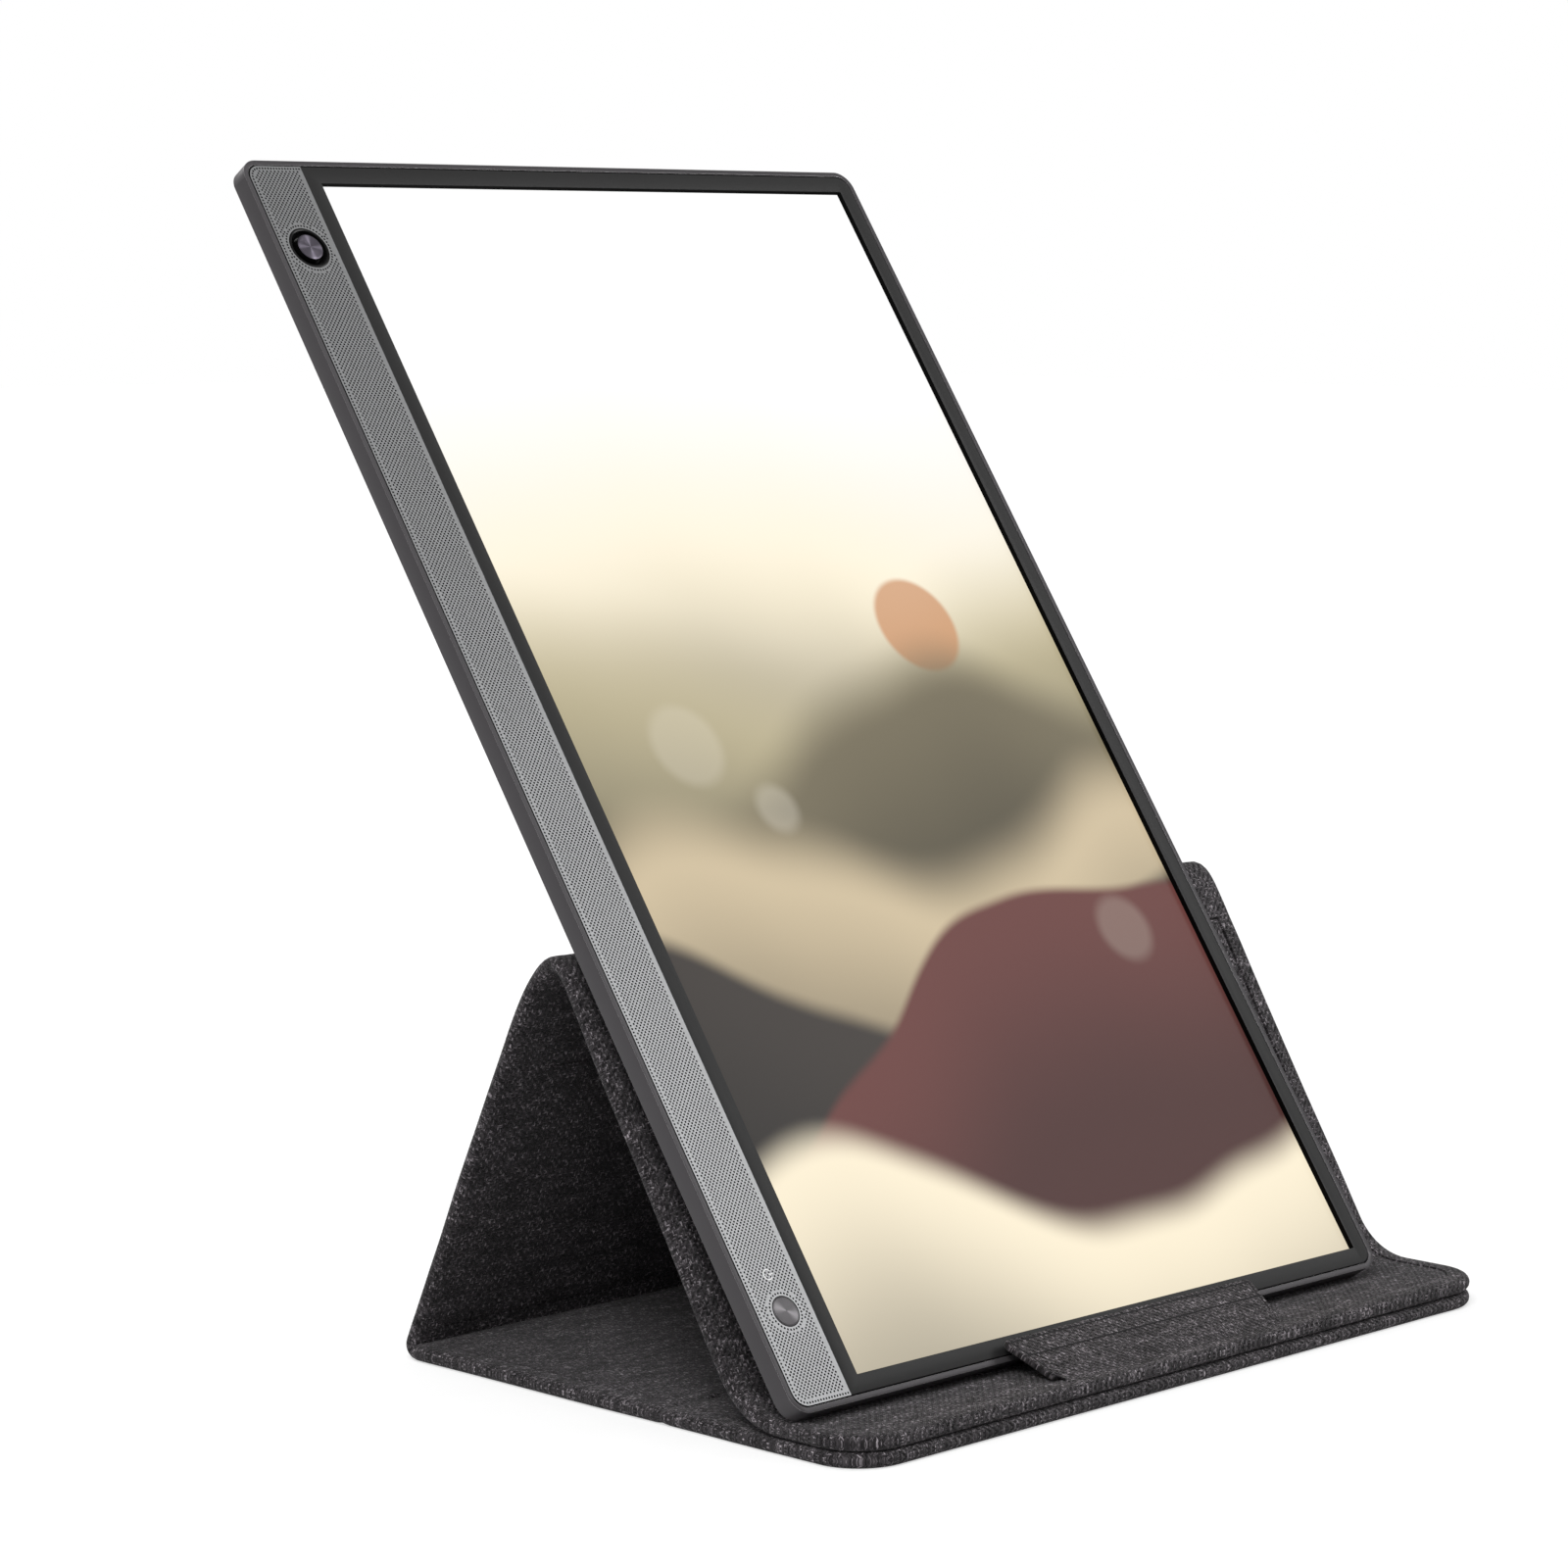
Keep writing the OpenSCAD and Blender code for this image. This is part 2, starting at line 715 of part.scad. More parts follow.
module base_board_rear() {
    on_base() color(greyboard) intersection() {
        base_board();
        translate([-cover_w / 2, 0, 0]) cube([cover_w, crease_from_rear - crease_w / 2, panel_t]);
    }
}

module base_board_front() {
    on_base() color(greyboard) difference() {
        base_board();
        translate([-cover_w / 2, 0, 0]) cube([cover_w, crease_from_rear + crease_w / 2, panel_t]);
        magnets(base_depth, magnet_r + 0.2, skin_t - 1, panel_t);
    }
}

module base_lining() {
    on_base() color(lining) difference() {
        panel_lining(base_span[0], base_span[1], base_span[2], base_span[3], base_span[4]);
        translate([-cover_w / 2, crease_from_rear - crease_w / 2, panel_t - crease_depth])
            cube([cover_w, crease_w, 2]);
    }
}

// The pair of magnets near a panel's front edge
module magnets(front, r, z, t) {
    for (s = [-1, 1])
        translate([s * magnet_spacing / 2, front - magnet_from_front, z]) cylinder(r = r, h = t);
}

module base_magnets() {
    on_base() color("silver") magnets(base_depth, magnet_r, skin_t, magnet_t);
}

module rear_fold_web() {
    color(fabric) fold_band(ring_sector([rear_axis_y, axis_z], fit, axis_z,
        -90, 90 - rear_rise, 10));
}

module rear_skin() {
    on_rear() color(fabric)
        panel_skin(rear_span[0], rear_span[1], rear_span[2], rear_span[3], rear_span[4]);
}

module rear_board() {
    on_rear() color(greyboard)
        panel_board(rear_span[0], rear_span[1], rear_span[2], rear_span[3], rear_span[4]);
}

module rear_lining() {
    on_rear() color(lining)
        panel_lining(rear_span[0], rear_span[1], rear_span[2], rear_span[3], rear_span[4]);
}

// The soft fold over the top, swept along a curve that leaves both panels in line
module apex_fold_web() {
    steps = 20;
    rear_dir = [-cos(rear_rise), sin(rear_rise)];
    lean_dir = [cos(lean_rise), sin(lean_rise)];
    start = [rear_axis_y, axis_z] + (rear_slab_len + fit) * rear_dir
        + panel_t / 2 * [sin(rear_rise), cos(rear_rise)];
    end = [front_axis_y, axis_z] + (lean_slab_len + fit) * lean_dir
        + panel_t / 2 * [-sin(lean_rise), cos(lean_rise)];
    curve = [start, start + rear_pull_len * rear_dir, end + lean_pull_len * lean_dir, end];
    upper = [for (i = [0 : steps])
        bezier(curve, i / steps) + side_step(bezier_slope(curve, i / steps), -panel_t / 2)];
    lower = [for (i = [0 : steps])
        bezier(curve, i / steps) + side_step(bezier_slope(curve, i / steps), panel_t / 2)];
    color(fabric) fold_band(concat(upper, reversed(lower)));
}

module lean_skin() {
    on_lean() color(fabric)
        panel_skin(lean_span[0], lean_span[1], lean_span[2], lean_span[3], lean_span[4]);
}

module lean_board() {
    on_lean() color(greyboard)
        panel_board(lean_span[0], lean_span[1], lean_span[2], lean_span[3], lean_span[4]);
}

module lean_lining() {
    on_lean() color(lining)
        panel_lining(lean_span[0], lean_span[1], lean_span[2], lean_span[3], lean_span[4]);
}

module front_fold_web() {
    color(fabric) fold_band(ring_sector([front_axis_y - bend_run, axis_z + bend_r],
        bend_r - panel_t, bend_r, -90, lean_rise - 90, 14));
}

module ledge_skin() {
    on_ledge() color(fabric)
        panel_skin(ledge_span[0], ledge_span[1], ledge_span[2], ledge_span[3], ledge_span[4]);
}

module ledge_board() {
    on_ledge() color(greyboard) difference() {
        panel_board(ledge_span[0], ledge_span[1], ledge_span[2], ledge_span[3], ledge_span[4]);
        magnets(ledge_depth, magnet_r + 0.2, skin_t - 1, panel_t);
    }
}

module ledge_lining() {
    on_ledge() color(lining)
        panel_lining(ledge_span[0], ledge_span[1], ledge_span[2], ledge_span[3], ledge_span[4]);
}

module ledge_magnets() {
    on_ledge() color("silver") magnets(ledge_depth, magnet_r, skin_t, magnet_t);
}

// Stop tab

module stiffener_block(play) {
    block(0, tab_len / 2 + 0.5, -stiffener_t / 2, tab_root_w - stiffener_margin - play,
        tab_len - stiffener_margin - play, stiffener_t);
}

module stop_tab() {
    on_tab() color(fabric) difference() {
        union() {
            translate([-tab_root_w / 2, 0, 0]) rotate([0, 90, 0]) cylinder(r = tab_t / 2, h = tab_root_w);
            translate([0, 0, -tab_t / 2]) linear_extrude(tab_t) polygon([
                [-tab_root_w / 2, 0], [tab_root_w / 2, 0], [tab_w / 2, tab_len - tab_corner],
                [tab_w / 2 - tab_corner, tab_len], [tab_corner - tab_w / 2, tab_len],
                [-tab_w / 2, tab_len - tab_corner]
            ]);
        }
        stiffener_block(0);
    }
}

module tab_stiffener() {
    on_tab() color(greyboard) stiffener_block(stiffener_play);
}

mid_frame();
front_bezel();
speaker_strip();
rear_shell();
lcd_cell();
diffuser_film();
light_guide();
led_bar();
reflector_sheet();
backlight_tray();
timing_board();
panel_flex();
main_board();
board_chips();
board_screws();
io_board();
usb_c_socket();
power_board();
tact_switches();
speaker_upper();
speaker_lower();
menu_ring();
menu_button();
power_button();
base_skin();
base_board_rear();
base_board_front();
base_lining();
base_magnets();
rear_fold_web();
rear_skin();
rear_board();
rear_lining();
apex_fold_web();
lean_skin();
lean_board();
lean_lining();
front_fold_web();
ledge_skin();
ledge_board();
ledge_lining();
ledge_magnets();
stop_tab();
tab_stiffener();
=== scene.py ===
"""Looks of a portable monitor that stands upright in its folded fabric cover.

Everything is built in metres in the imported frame: X runs across the stand, Y from front to
back and Z up. The monitor's own frame has X across, Y up the screen and Z out of the screen.
"""

import json
import logging
import math
from contextlib import contextmanager
from dataclasses import dataclass
from enum import Enum
from typing import Callable, Iterator, Sequence

import bmesh
import bpy
import numpy as np
from mathutils import Euler, Matrix, Vector, noise
from mathutils.geometry import delaunay_2d_cdt


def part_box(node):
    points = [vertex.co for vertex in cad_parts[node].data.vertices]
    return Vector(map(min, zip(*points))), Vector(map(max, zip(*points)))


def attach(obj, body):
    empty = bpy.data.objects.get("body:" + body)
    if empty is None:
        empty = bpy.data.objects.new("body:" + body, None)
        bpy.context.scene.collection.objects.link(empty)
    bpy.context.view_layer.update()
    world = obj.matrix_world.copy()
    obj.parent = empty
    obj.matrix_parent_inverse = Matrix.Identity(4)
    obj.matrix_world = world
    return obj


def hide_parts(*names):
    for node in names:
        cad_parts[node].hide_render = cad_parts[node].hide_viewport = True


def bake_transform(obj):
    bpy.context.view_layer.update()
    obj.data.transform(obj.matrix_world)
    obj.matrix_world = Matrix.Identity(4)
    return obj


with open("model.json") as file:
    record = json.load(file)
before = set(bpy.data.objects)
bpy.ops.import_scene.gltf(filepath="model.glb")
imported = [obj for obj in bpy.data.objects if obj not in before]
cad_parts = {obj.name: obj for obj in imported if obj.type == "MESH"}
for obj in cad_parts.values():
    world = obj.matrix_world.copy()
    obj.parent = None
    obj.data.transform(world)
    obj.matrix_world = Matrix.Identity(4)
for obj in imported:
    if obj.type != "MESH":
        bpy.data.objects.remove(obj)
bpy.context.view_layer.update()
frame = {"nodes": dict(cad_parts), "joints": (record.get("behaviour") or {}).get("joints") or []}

MM = 0.001
ACROSS = Vector((1, 0, 0))
ALONG = Vector((0, 1, 0))
CUT_TOLERANCE = 1e-7
WEAVE_MAP = "weave"
FACE_MAP = "face"
log = logging.getLogger("monitor_with_cover")


# Modelling by hand


class PickMode(Enum):
    """What edit mode selects."""

    VERTS = "VERT"
    EDGES = "EDGE"
    FACES = "FACE"


def make_active(obj: bpy.types.Object) -> None:
    """Selects one object alone and makes it active."""
    bpy.ops.object.select_all(action="DESELECT")
    bpy.context.view_layer.objects.active = obj
    obj.select_set(True)


@contextmanager
def editing(obj: bpy.types.Object, mode: PickMode = PickMode.FACES) -> Iterator[None]:
    """Opens edit mode on one object with nothing selected.

    Args:
        obj: The object to edit.
        mode: What is selected in it.
    """
    make_active(obj)
    bpy.ops.object.mode_set(mode="EDIT")
    bpy.ops.mesh.select_mode(type=mode.value)
    bpy.ops.mesh.select_all(action="DESELECT")
    try:
        yield
    finally:
        bpy.ops.object.mode_set(mode="OBJECT")


def pick_all() -> None:
    """Selects everything, in edit mode."""
    bpy.ops.mesh.select_all(action="SELECT")


def pick_faces(obj: bpy.types.Object, test: Callable[[bmesh.types.BMFace], bool]) -> None:
    """Selects the faces that pass a test, in edit mode."""
    mesh = bmesh.from_edit_mesh(obj.data)
    wanted = [face for face in mesh.faces if test(face)]
    for face in mesh.faces:
        face.select_set(False)
    for face in wanted:
        face.select_set(True)
    bmesh.update_edit_mesh(obj.data)


def pick_verts(obj: bpy.types.Object, test: Callable[[Vector], bool]) -> None:
    """Selects the vertices whose place passes a test, in edit mode."""
    mesh = bmesh.from_edit_mesh(obj.data)
    for vert in mesh.verts:
        vert.select_set(test(vert.co))
    mesh.select_flush(True)
    bmesh.update_edit_mesh(obj.data)


def link_new(name: str, data: bpy.types.ID) -> bpy.types.Object:
    """Puts a new object that holds the given data into the scene."""
    obj = bpy.data.objects.new(name, data)
    bpy.context.scene.collection.objects.link(obj)
    return obj


def settled(name: str, scale: Sequence[float] = (1, 1, 1)) -> bpy.types.Object:
    """Names the shape just added, and moves its place, turn and scale into its mesh."""
    obj = bpy.context.object
    obj.name = obj.data.name = name
    obj.scale = scale
    bpy.ops.object.transform_apply(location=True, rotation=True, scale=True)
    return obj


def add_plane(name: str, size: tuple[float, float], centre: Sequence[float]) -> bpy.types.Object:
    """Adds a flat rectangle.

    Args:
        name: The new piece's name.
        size: Width along X and length along Y.
        centre: The middle of the rectangle.

    Returns:
        The new object, at the origin, with its place in its mesh.
    """
    bpy.ops.object.select_all(action="DESELECT")
    bpy.ops.mesh.primitive_plane_add(size=1, location=tuple(centre))
    return settled(name, (*size, 1))


def extrude(move: tuple[float, float, float]) -> None:
    """Extrudes what is selected and moves it."""
    bpy.ops.mesh.extrude_region_move(TRANSFORM_OT_translate={"value": move})


def inset(thickness: float, depth: float = 0.0, boundary: bool = True) -> None:
    """Insets the selected region, and raises or sinks it along its normal."""
    bpy.ops.mesh.inset(thickness=thickness, depth=depth, use_boundary=boundary)


def cut(places: Sequence[float], axis: Vector) -> None:
    """Cuts the whole mesh square to an axis, at each of the places along it, in edit mode."""
    for place in places:
        pick_all()
        bpy.ops.mesh.bisect(plane_co=axis * place, plane_no=axis, threshold=CUT_TOLERANCE)


def cut_off(place: float, outwards: Vector) -> None:
    """Takes away what lies past a place along Y, in edit mode."""
    pick_all()
    bpy.ops.mesh.bisect(
        plane_co=ALONG * place, plane_no=outwards, clear_outer=True, threshold=CUT_TOLERANCE
    )


def close_and_face_out() -> None:
    """Merges doubles and turns all faces outwards, in edit mode."""
    pick_all()
    bpy.ops.mesh.remove_doubles(threshold=CUT_TOLERANCE)
    bpy.ops.mesh.normals_make_consistent(inside=False)


def thicken(height: float) -> None:
    """Extrudes a flat piece into a closed plate, in edit mode."""
    pick_all()
    extrude((0, 0, height))
    close_and_face_out()


def round_ends(
    obj: bpy.types.Object, span: tuple[float, float], radius: float, segments: int,
    start: bool = False, end: bool = True,
) -> None:
    """Rounds the corners at one end or both ends of a flat piece.

    Args:
        obj: The piece.
        span: Where it starts and ends along Y.
        radius: The corners' radius.
        segments: Sides of each round corner.
        start: Whether the corners at its start are rounded.
        end: Whether the corners at its end are rounded.
    """
    low, high = span
    with editing(obj, PickMode.VERTS):
        pick_verts(
            obj, lambda p: (start and p.y < low + radius) or (end and p.y > high - radius)
        )
        if start or end:
            bpy.ops.mesh.bevel(affect="VERTICES", offset=radius, segments=segments, profile=0.5)


def round_edges(
    obj: bpy.types.Object, width: float, segments: int = 2, degrees: float = 40.0,
    **settings: object,
) -> None:
    """Bevels the edges that are sharper than an angle, then shades the piece smooth.

    Args:
        obj: The piece.
        width: The bevel's width.
        segments: Its sides.
        degrees: The sharpest angle that is left as it is.
        settings: The bevel's other settings.
    """
    modifier = obj.modifiers.new("Bevel", "BEVEL")
    modifier.width, modifier.segments = width, segments
    modifier.limit_method, modifier.angle_limit = "ANGLE", math.radians(degrees)
    for key, value in settings.items():
        setattr(modifier, key, value)
    make_active(obj)
    bpy.ops.object.modifier_apply(modifier=modifier.name)
    smooth(obj, 30)


def smooth(obj: bpy.types.Object, angle: float) -> None:
    """Shades an object smooth, apart from edges sharper than an angle in degrees."""
    make_active(obj)
    bpy.ops.object.shade_smooth_by_angle(angle=math.radians(angle))


def place_mesh(obj: bpy.types.Object, matrix: Matrix) -> None:
    """Moves an object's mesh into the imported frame."""
    obj.data.transform(matrix)
    obj.data.update()


def points_of(obj: bpy.types.Object) -> np.ndarray:
    """The places of an object's vertices, one row each."""
    flat = np.zeros(len(obj.data.vertices) * 3)
    obj.data.vertices.foreach_get("co", flat)
    return flat.reshape(-1, 3)


def set_points(obj: bpy.types.Object, places: np.ndarray) -> None:
    """Moves an object's vertices to the given places."""
    obj.data.vertices.foreach_set("co", places.astype(np.float32).ravel())
    obj.data.update()


def face_out(obj: bpy.types.Object) -> None:
    """Turns all of an object's faces outwards."""
    with editing(obj):
        pick_all()
        bpy.ops.mesh.normals_make_consistent(inside=False)


def new_uv(obj: bpy.types.Object, name: str) -> bpy.types.MeshUVLoopLayer:
    """Replaces an object's UV maps by an empty one."""
    layers = obj.data.uv_layers
    while layers:
        layers.remove(layers[0])
    return layers.new(name=name)


def write_uv(obj: bpy.types.Object, name: str, per_vertex: np.ndarray) -> None:
    """Gives an object one UV map, from the U and V of each vertex."""
    layer = new_uv(obj, name)
    corners = np.zeros(len(obj.data.loops), np.int32)
    obj.data.loops.foreach_get("vertex_index", corners)
    layer.data.foreach_set("uv", per_vertex[corners].astype(np.float32).ravel())


def circle(count: int) -> np.ndarray:
    """Points of a circle of radius 1, one row each."""
    turn = 2 * np.pi * np.arange(count) / count
    return np.c_[np.cos(turn), np.sin(turn)]


def cad_joint(name: str) -> dict:
    """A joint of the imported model."""
    return next(joint for joint in frame["joints"] if joint["name"] == name)


def mid_height(node: str) -> float:
    """The height of a level CAD node's middle."""
    low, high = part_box(node)
    return (low.z + high.z) / 2


def turned(name: str, profile: Sequence[tuple[float, float]], segments: int) -> bpy.types.Object:
    """Turns a closed round piece about its own Z axis: a disc whose rim is extruded and scaled.

    Args:
        name: The new piece's name.
        profile: Radius and height of each ring, from the first disc to the last.
        segments: Sides of each ring.

    Returns:
        The new object, standing on its axis at the origin.
    """
    bpy.ops.object.select_all(action="DESELECT")
    radius, height = profile[0]
    bpy.ops.mesh.primitive_circle_add(
        vertices=segments, radius=radius, fill_type="NGON", location=(0, 0, height)
    )
    obj = settled(name)
    with editing(obj):
        pick_all()
        for next_r, next_z in profile[1:]:
            extrude((0, 0, next_z - height))
            share = next_r / radius
            bpy.ops.transform.resize(value=(share, share, 1), center_override=(0, 0, next_z))
            radius, height = next_r, next_z
        close_and_face_out()
    return obj


def cad_copy(node: str, name: str) -> bpy.types.Object:
    """Copies a CAD node's mesh into a new piece and joins its loose triangles."""
    mesh = frame["nodes"][node].data.copy()
    mesh.materials.clear()
    mesh.name = name
    obj = link_new(name, mesh)
    with editing(obj):
        pick_all()
        bpy.ops.mesh.remove_doubles(threshold=1e-6)
        bpy.ops.mesh.dissolve_limited(angle_limit=math.radians(0.5))
    return obj


# Node wiring


class Wiring:
    """Wires one material's nodes in few words."""

    def __init__(self, name: str) -> None:
        """Starts an empty material with an output node."""
        self.material = bpy.data.materials.new(name)
        self.material.use_nodes = True
        self.tree = self.material.node_tree
        self.tree.nodes.clear()
        self.output = self.tree.nodes.new("ShaderNodeOutputMaterial")

    def node(self, kind: str, values: dict | None = None, **settings: object) -> bpy.types.Node:
        """Adds a node.

        Args:
            kind: The node's type.
            values: Input name or number to a value, or to the socket that feeds it.
            settings: The node's own settings.

        Returns:
            The new node.
        """
        made = self.tree.nodes.new(kind)
        for key, value in settings.items():
            setattr(made, key, value)
        for key, value in (values or {}).items():
            if isinstance(value, bpy.types.NodeSocket):
                self.tree.links.new(value, made.inputs[key])
            else:
                made.inputs[key].default_value = value
        return made

    def math(self, operation: str, *values: object) -> bpy.types.NodeSocket:
        """A sum on one to three values."""
        return self.node("ShaderNodeMath", dict(enumerate(values)), operation=operation).outputs[0]

    def blend(self, share: object, low: object, high: object) -> bpy.types.NodeSocket:
        """A colour between two colours."""
        made = self.node("ShaderNodeMix", {0: share, 6: low, 7: high}, data_type="RGBA")
        return made.outputs[2]

    def between(self, value: object, low: object, high: object) -> bpy.types.NodeSocket:
        """A smooth step from 0 at a low value to 1 at a high one."""
        made = self.node(
            "ShaderNodeMapRange",
            {"Value": value, "From Min": low, "From Max": high},
            interpolation_type="SMOOTHSTEP",
        )
        return made.outputs[0]

    def speckle(
        self, where: object, scale: float, detail: float = 2.0, roughness: float = 0.5
    ) -> bpy.types.NodeSocket:
        """Noise from 0 to 1 at a place."""
        values = {"Vector": where, "Scale": scale, "Detail": detail, "Roughness": roughness}
        return self.node("ShaderNodeTexNoise", values).outputs[0]

    def vector(self, operation: str, *values: object) -> bpy.types.NodeSocket:
        """A sum on two places."""
        values = dict(enumerate(values))
        return self.node("ShaderNodeVectorMath", values, operation=operation).outputs[0]

    def stretched(self, where: object, scale: Sequence[float]) -> bpy.types.NodeSocket:
        """A place multiplied by a factor along each axis."""
        return self.vector("MULTIPLY", where, tuple(scale))

    def split(self, where: object) -> tuple[bpy.types.NodeSocket, bpy.types.NodeSocket]:
        """A place's first two coordinates."""
        parts = self.node("ShaderNodeSeparateXYZ", {0: where}).outputs
        return parts[0], parts[1]

    def reach(self, across: object, up: object) -> bpy.types.NodeSocket:
        """The distance of a flat place from the middle."""
        squares = [self.math("MULTIPLY", value, value) for value in (across, up)]
        return self.math("SQRT", self.math("ADD", *squares))

    def around(self, value: object, middle: float, spread: float) -> bpy.types.NodeSocket:
        """A noise from 0 to 1, spread round a middle value."""
        return self.math("MULTIPLY_ADD", value, spread, middle - spread / 2)

    def object_place(self) -> bpy.types.NodeSocket:
        """The place on the object, in metres."""
        return self.node("ShaderNodeTexCoord").outputs["Object"]

    def map_place(self, name: str) -> bpy.types.NodeSocket:
        """The place on the piece's own UV map."""
        return self.node("ShaderNodeUVMap", uv_map=name).outputs[0]

    def bump(self, height: object, distance: float, strength: float = 1.0) -> bpy.types.NodeSocket:
        """Normals of a relief of the given depth in metres."""
        values = {"Height": height, "Distance": distance, "Strength": strength}
        return self.node("ShaderNodeBump", values).outputs[0]

    def surface(self, **values: object) -> bpy.types.Material:
        """Ends the material in a principled shader.

        Args:
            values: The shader's inputs, with underscores for spaces.

        Returns:
            The finished material.
        """
        named = {key.replace("_", " "): value for key, value in values.items()}
        shader = self.node("ShaderNodeBsdfPrincipled", named)
        self.tree.links.new(shader.outputs[0], self.output.inputs[0])
        return self.material


Colour = tuple[float, float, float, float]


def grey(value: float, red: float = 0.0, blue: float = 0.0) -> Colour:
    """A grey with a little more or less red and blue."""
    return (value + red, value, value + blue, 1.0)


def scaled(colour: Colour, share: float) -> Colour:
    """A colour made darker or lighter."""
    return (colour[0] * share, colour[1] * share, colour[2] * share, 1.0)


# Finishes


@dataclass(frozen=True)
class TwillCloth:
    """Heathered two-up two-down twill of dark yarns with pale flecks."""

    name: str = "heathered_twill"
    yarn: float = 0.5 * MM
    dark: Colour = (0.008, 0.0075, 0.008, 1.0)
    middle: Colour = (0.068, 0.061, 0.066, 1.0)
    fleck: Colour = (0.42, 0.38, 0.41, 1.0)
    fleck_from: float = 0.57
    body_from: float = 0.32
    fleck_fade: tuple[float, float] = (-0.03, 0.12)
    yarn_pull: float = 0.22
    wale_shade_depth: float = 0.45
    wale_relief: float = 0.6
    drift_scale: float = 38.0
    slub_pull: tuple[float, float, float] = (0.035, 0.13, 1.0)
    slub: float = 0.95
    relief: float = 0.16 * MM

    @staticmethod
    def woven(w: Wiring, over: object, warp: object, weft: object) -> bpy.types.NodeSocket:
        """The warp's value where the warp lies on top, and the weft's elsewhere."""
        under = w.math("SUBTRACT", 1.0, over)
        return w.math("ADD", w.math("MULTIPLY", warp, over), w.math("MULTIPLY", weft, under))

    def yarn_tone_and_painted_shade(self, w: Wiring, place: object, wale: object, height: object) -> bpy.types.NodeSocket:
        """How light each yarn is: painted shade along its wale and off its round top, slow drifts, and
        thick and thin stretches.
        """
        # Painted shade: the twill's diagonal grooves are darkened in the colour.
        wale_painted_shade = w.math("MULTIPLY_ADD", wale, self.wale_shade_depth / 2, 1 - self.wale_shade_depth / 2)
        drift = w.speckle(w.map_place(WEAVE_MAP), self.drift_scale, 3.0, 0.6)
        slub = w.between(w.speckle(w.stretched(place, self.slub_pull), 1.0, 3.0, 0.65), 0.3, 0.7)
        drift = w.math("MULTIPLY", w.around(drift, 1.0, 0.5), w.around(slub, 1.0, self.slub))
        # Painted shade: each yarn is darker where it dips between its neighbours and lighter on its
        # round top.
        top = w.math("MULTIPLY_ADD", height, 0.35, 0.72)
        return w.math("MULTIPLY", w.math("MULTIPLY", wale_painted_shade, drift), top)

    def material(self) -> bpy.types.Material:
        """The cloth, on the piece's weave map in metres."""
        w = Wiring(self.name)
        place = w.stretched(w.map_place(WEAVE_MAP), (1 / self.yarn, 1 / self.yarn, 1))
        warp, weft = w.split(place)
        step = w.math("ADD", w.math("FLOOR", warp), w.math("FLOOR", weft))
        over = w.math("LESS_THAN", w.math("FLOORED_MODULO", step, 4.0), 1.5)
        rounds = [
            w.math("ABSOLUTE", w.math("SINE", w.math("MULTIPLY", yarn, math.pi)))
            for yarn in (warp, weft)
        ]
        height = self.woven(w, over, *rounds)
        tones = [
            w.speckle(w.stretched(place, pull), 0.9, 2.0, 0.7)
            for pull in ((1.0, self.yarn_pull, 1), (self.yarn_pull, 1.0, 1))
        ]
        tone = self.woven(w, over, *tones)
        wale = w.math("SINE", w.math("MULTIPLY", w.math("ADD", warp, weft), math.pi / 2))
        body = w.blend(w.between(tone, self.body_from, self.fleck_from), self.dark, self.middle)
        fade = [self.fleck_from + offset for offset in self.fleck_fade]
        flecked = w.blend(w.between(tone, *fade), body, self.fleck)
        # The flecked tone is multiplied by the yarns' own tone and by the painted shade of the weave.
        shaded = w.node(
            "ShaderNodeVectorMath",
            {0: flecked, "Scale": self.yarn_tone_and_painted_shade(w, place, wale, height)},
            operation="SCALE",
        ).outputs[0]
        relief = w.math("MULTIPLY_ADD", wale, self.wale_relief, height)
        return w.surface(
            Base_Color=shaded,
            Roughness=0.92,
            Specular_IOR_Level=0.18,
            Sheen_Weight=0.12,
            Sheen_Roughness=0.4,
            Normal=w.bump(relief, self.relief, 0.8),
        )


@dataclass(frozen=True)
class SatinPaint:
    """Satin metal paint with fine grain, cloudy tone and a little wear on its edges."""

    name: str
    colour: Colour
    metallic: float = 0.25
    roughness: float = 0.42
    gloss: float = 0.12
    grain: float = 0.006 * MM
    wear: float = 0.35
    grain_scale: float = 5200.0
    cloud_scale: float = 24.0
    edge_from: tuple[float, float] = (0.52, 0.60)

    def material(self) -> bpy.types.Material:
        """The paint, on object coordinates."""
        w = Wiring(self.name)
        place = w.object_place()
        fine = w.speckle(place, self.grain_scale)
        cloud = w.speckle(place, self.cloud_scale, 3.0)
        edge = w.between(w.node("ShaderNodeNewGeometry").outputs["Pointiness"], *self.edge_from)
        tone = w.blend(cloud, scaled(self.colour, 0.92), scaled(self.colour, 1.08))
        tone = w.blend(w.math("MULTIPLY", edge, self.wear), tone, scaled(self.colour, 1.9))
        return w.surface(
            Base_Color=tone,
            Metallic=self.metallic,
            Roughness=w.around(fine, self.roughness, 0.10),
            Specular_IOR_Level=self.gloss,
            Normal=w.bump(fine, self.grain, 0.6),
        )


@dataclass(frozen=True)
class MouldedPlastic:
    """Matt moulded plastic with a spark-eroded texture."""

    name: str
    colour: Colour
    roughness: float = 0.55
    texture: float = 0.015 * MM
    pitch: float = 2600.0
    gloss: float = 0.35

    def material(self) -> bpy.types.Material:
        """The plastic, on object coordinates."""
        w = Wiring(self.name)
        place = w.object_place()
        fine = w.speckle(place, self.pitch, 3.0, 0.6)
        cloud = w.speckle(place, 30.0, 2.0)
        tone = w.blend(cloud, scaled(self.colour, 0.9), scaled(self.colour, 1.12))
        return w.surface(
            Base_Color=tone,
            Roughness=w.around(fine, self.roughness, 0.14),
            Specular_IOR_Level=self.gloss,
            Normal=w.bump(fine, self.texture, 0.7),
        )


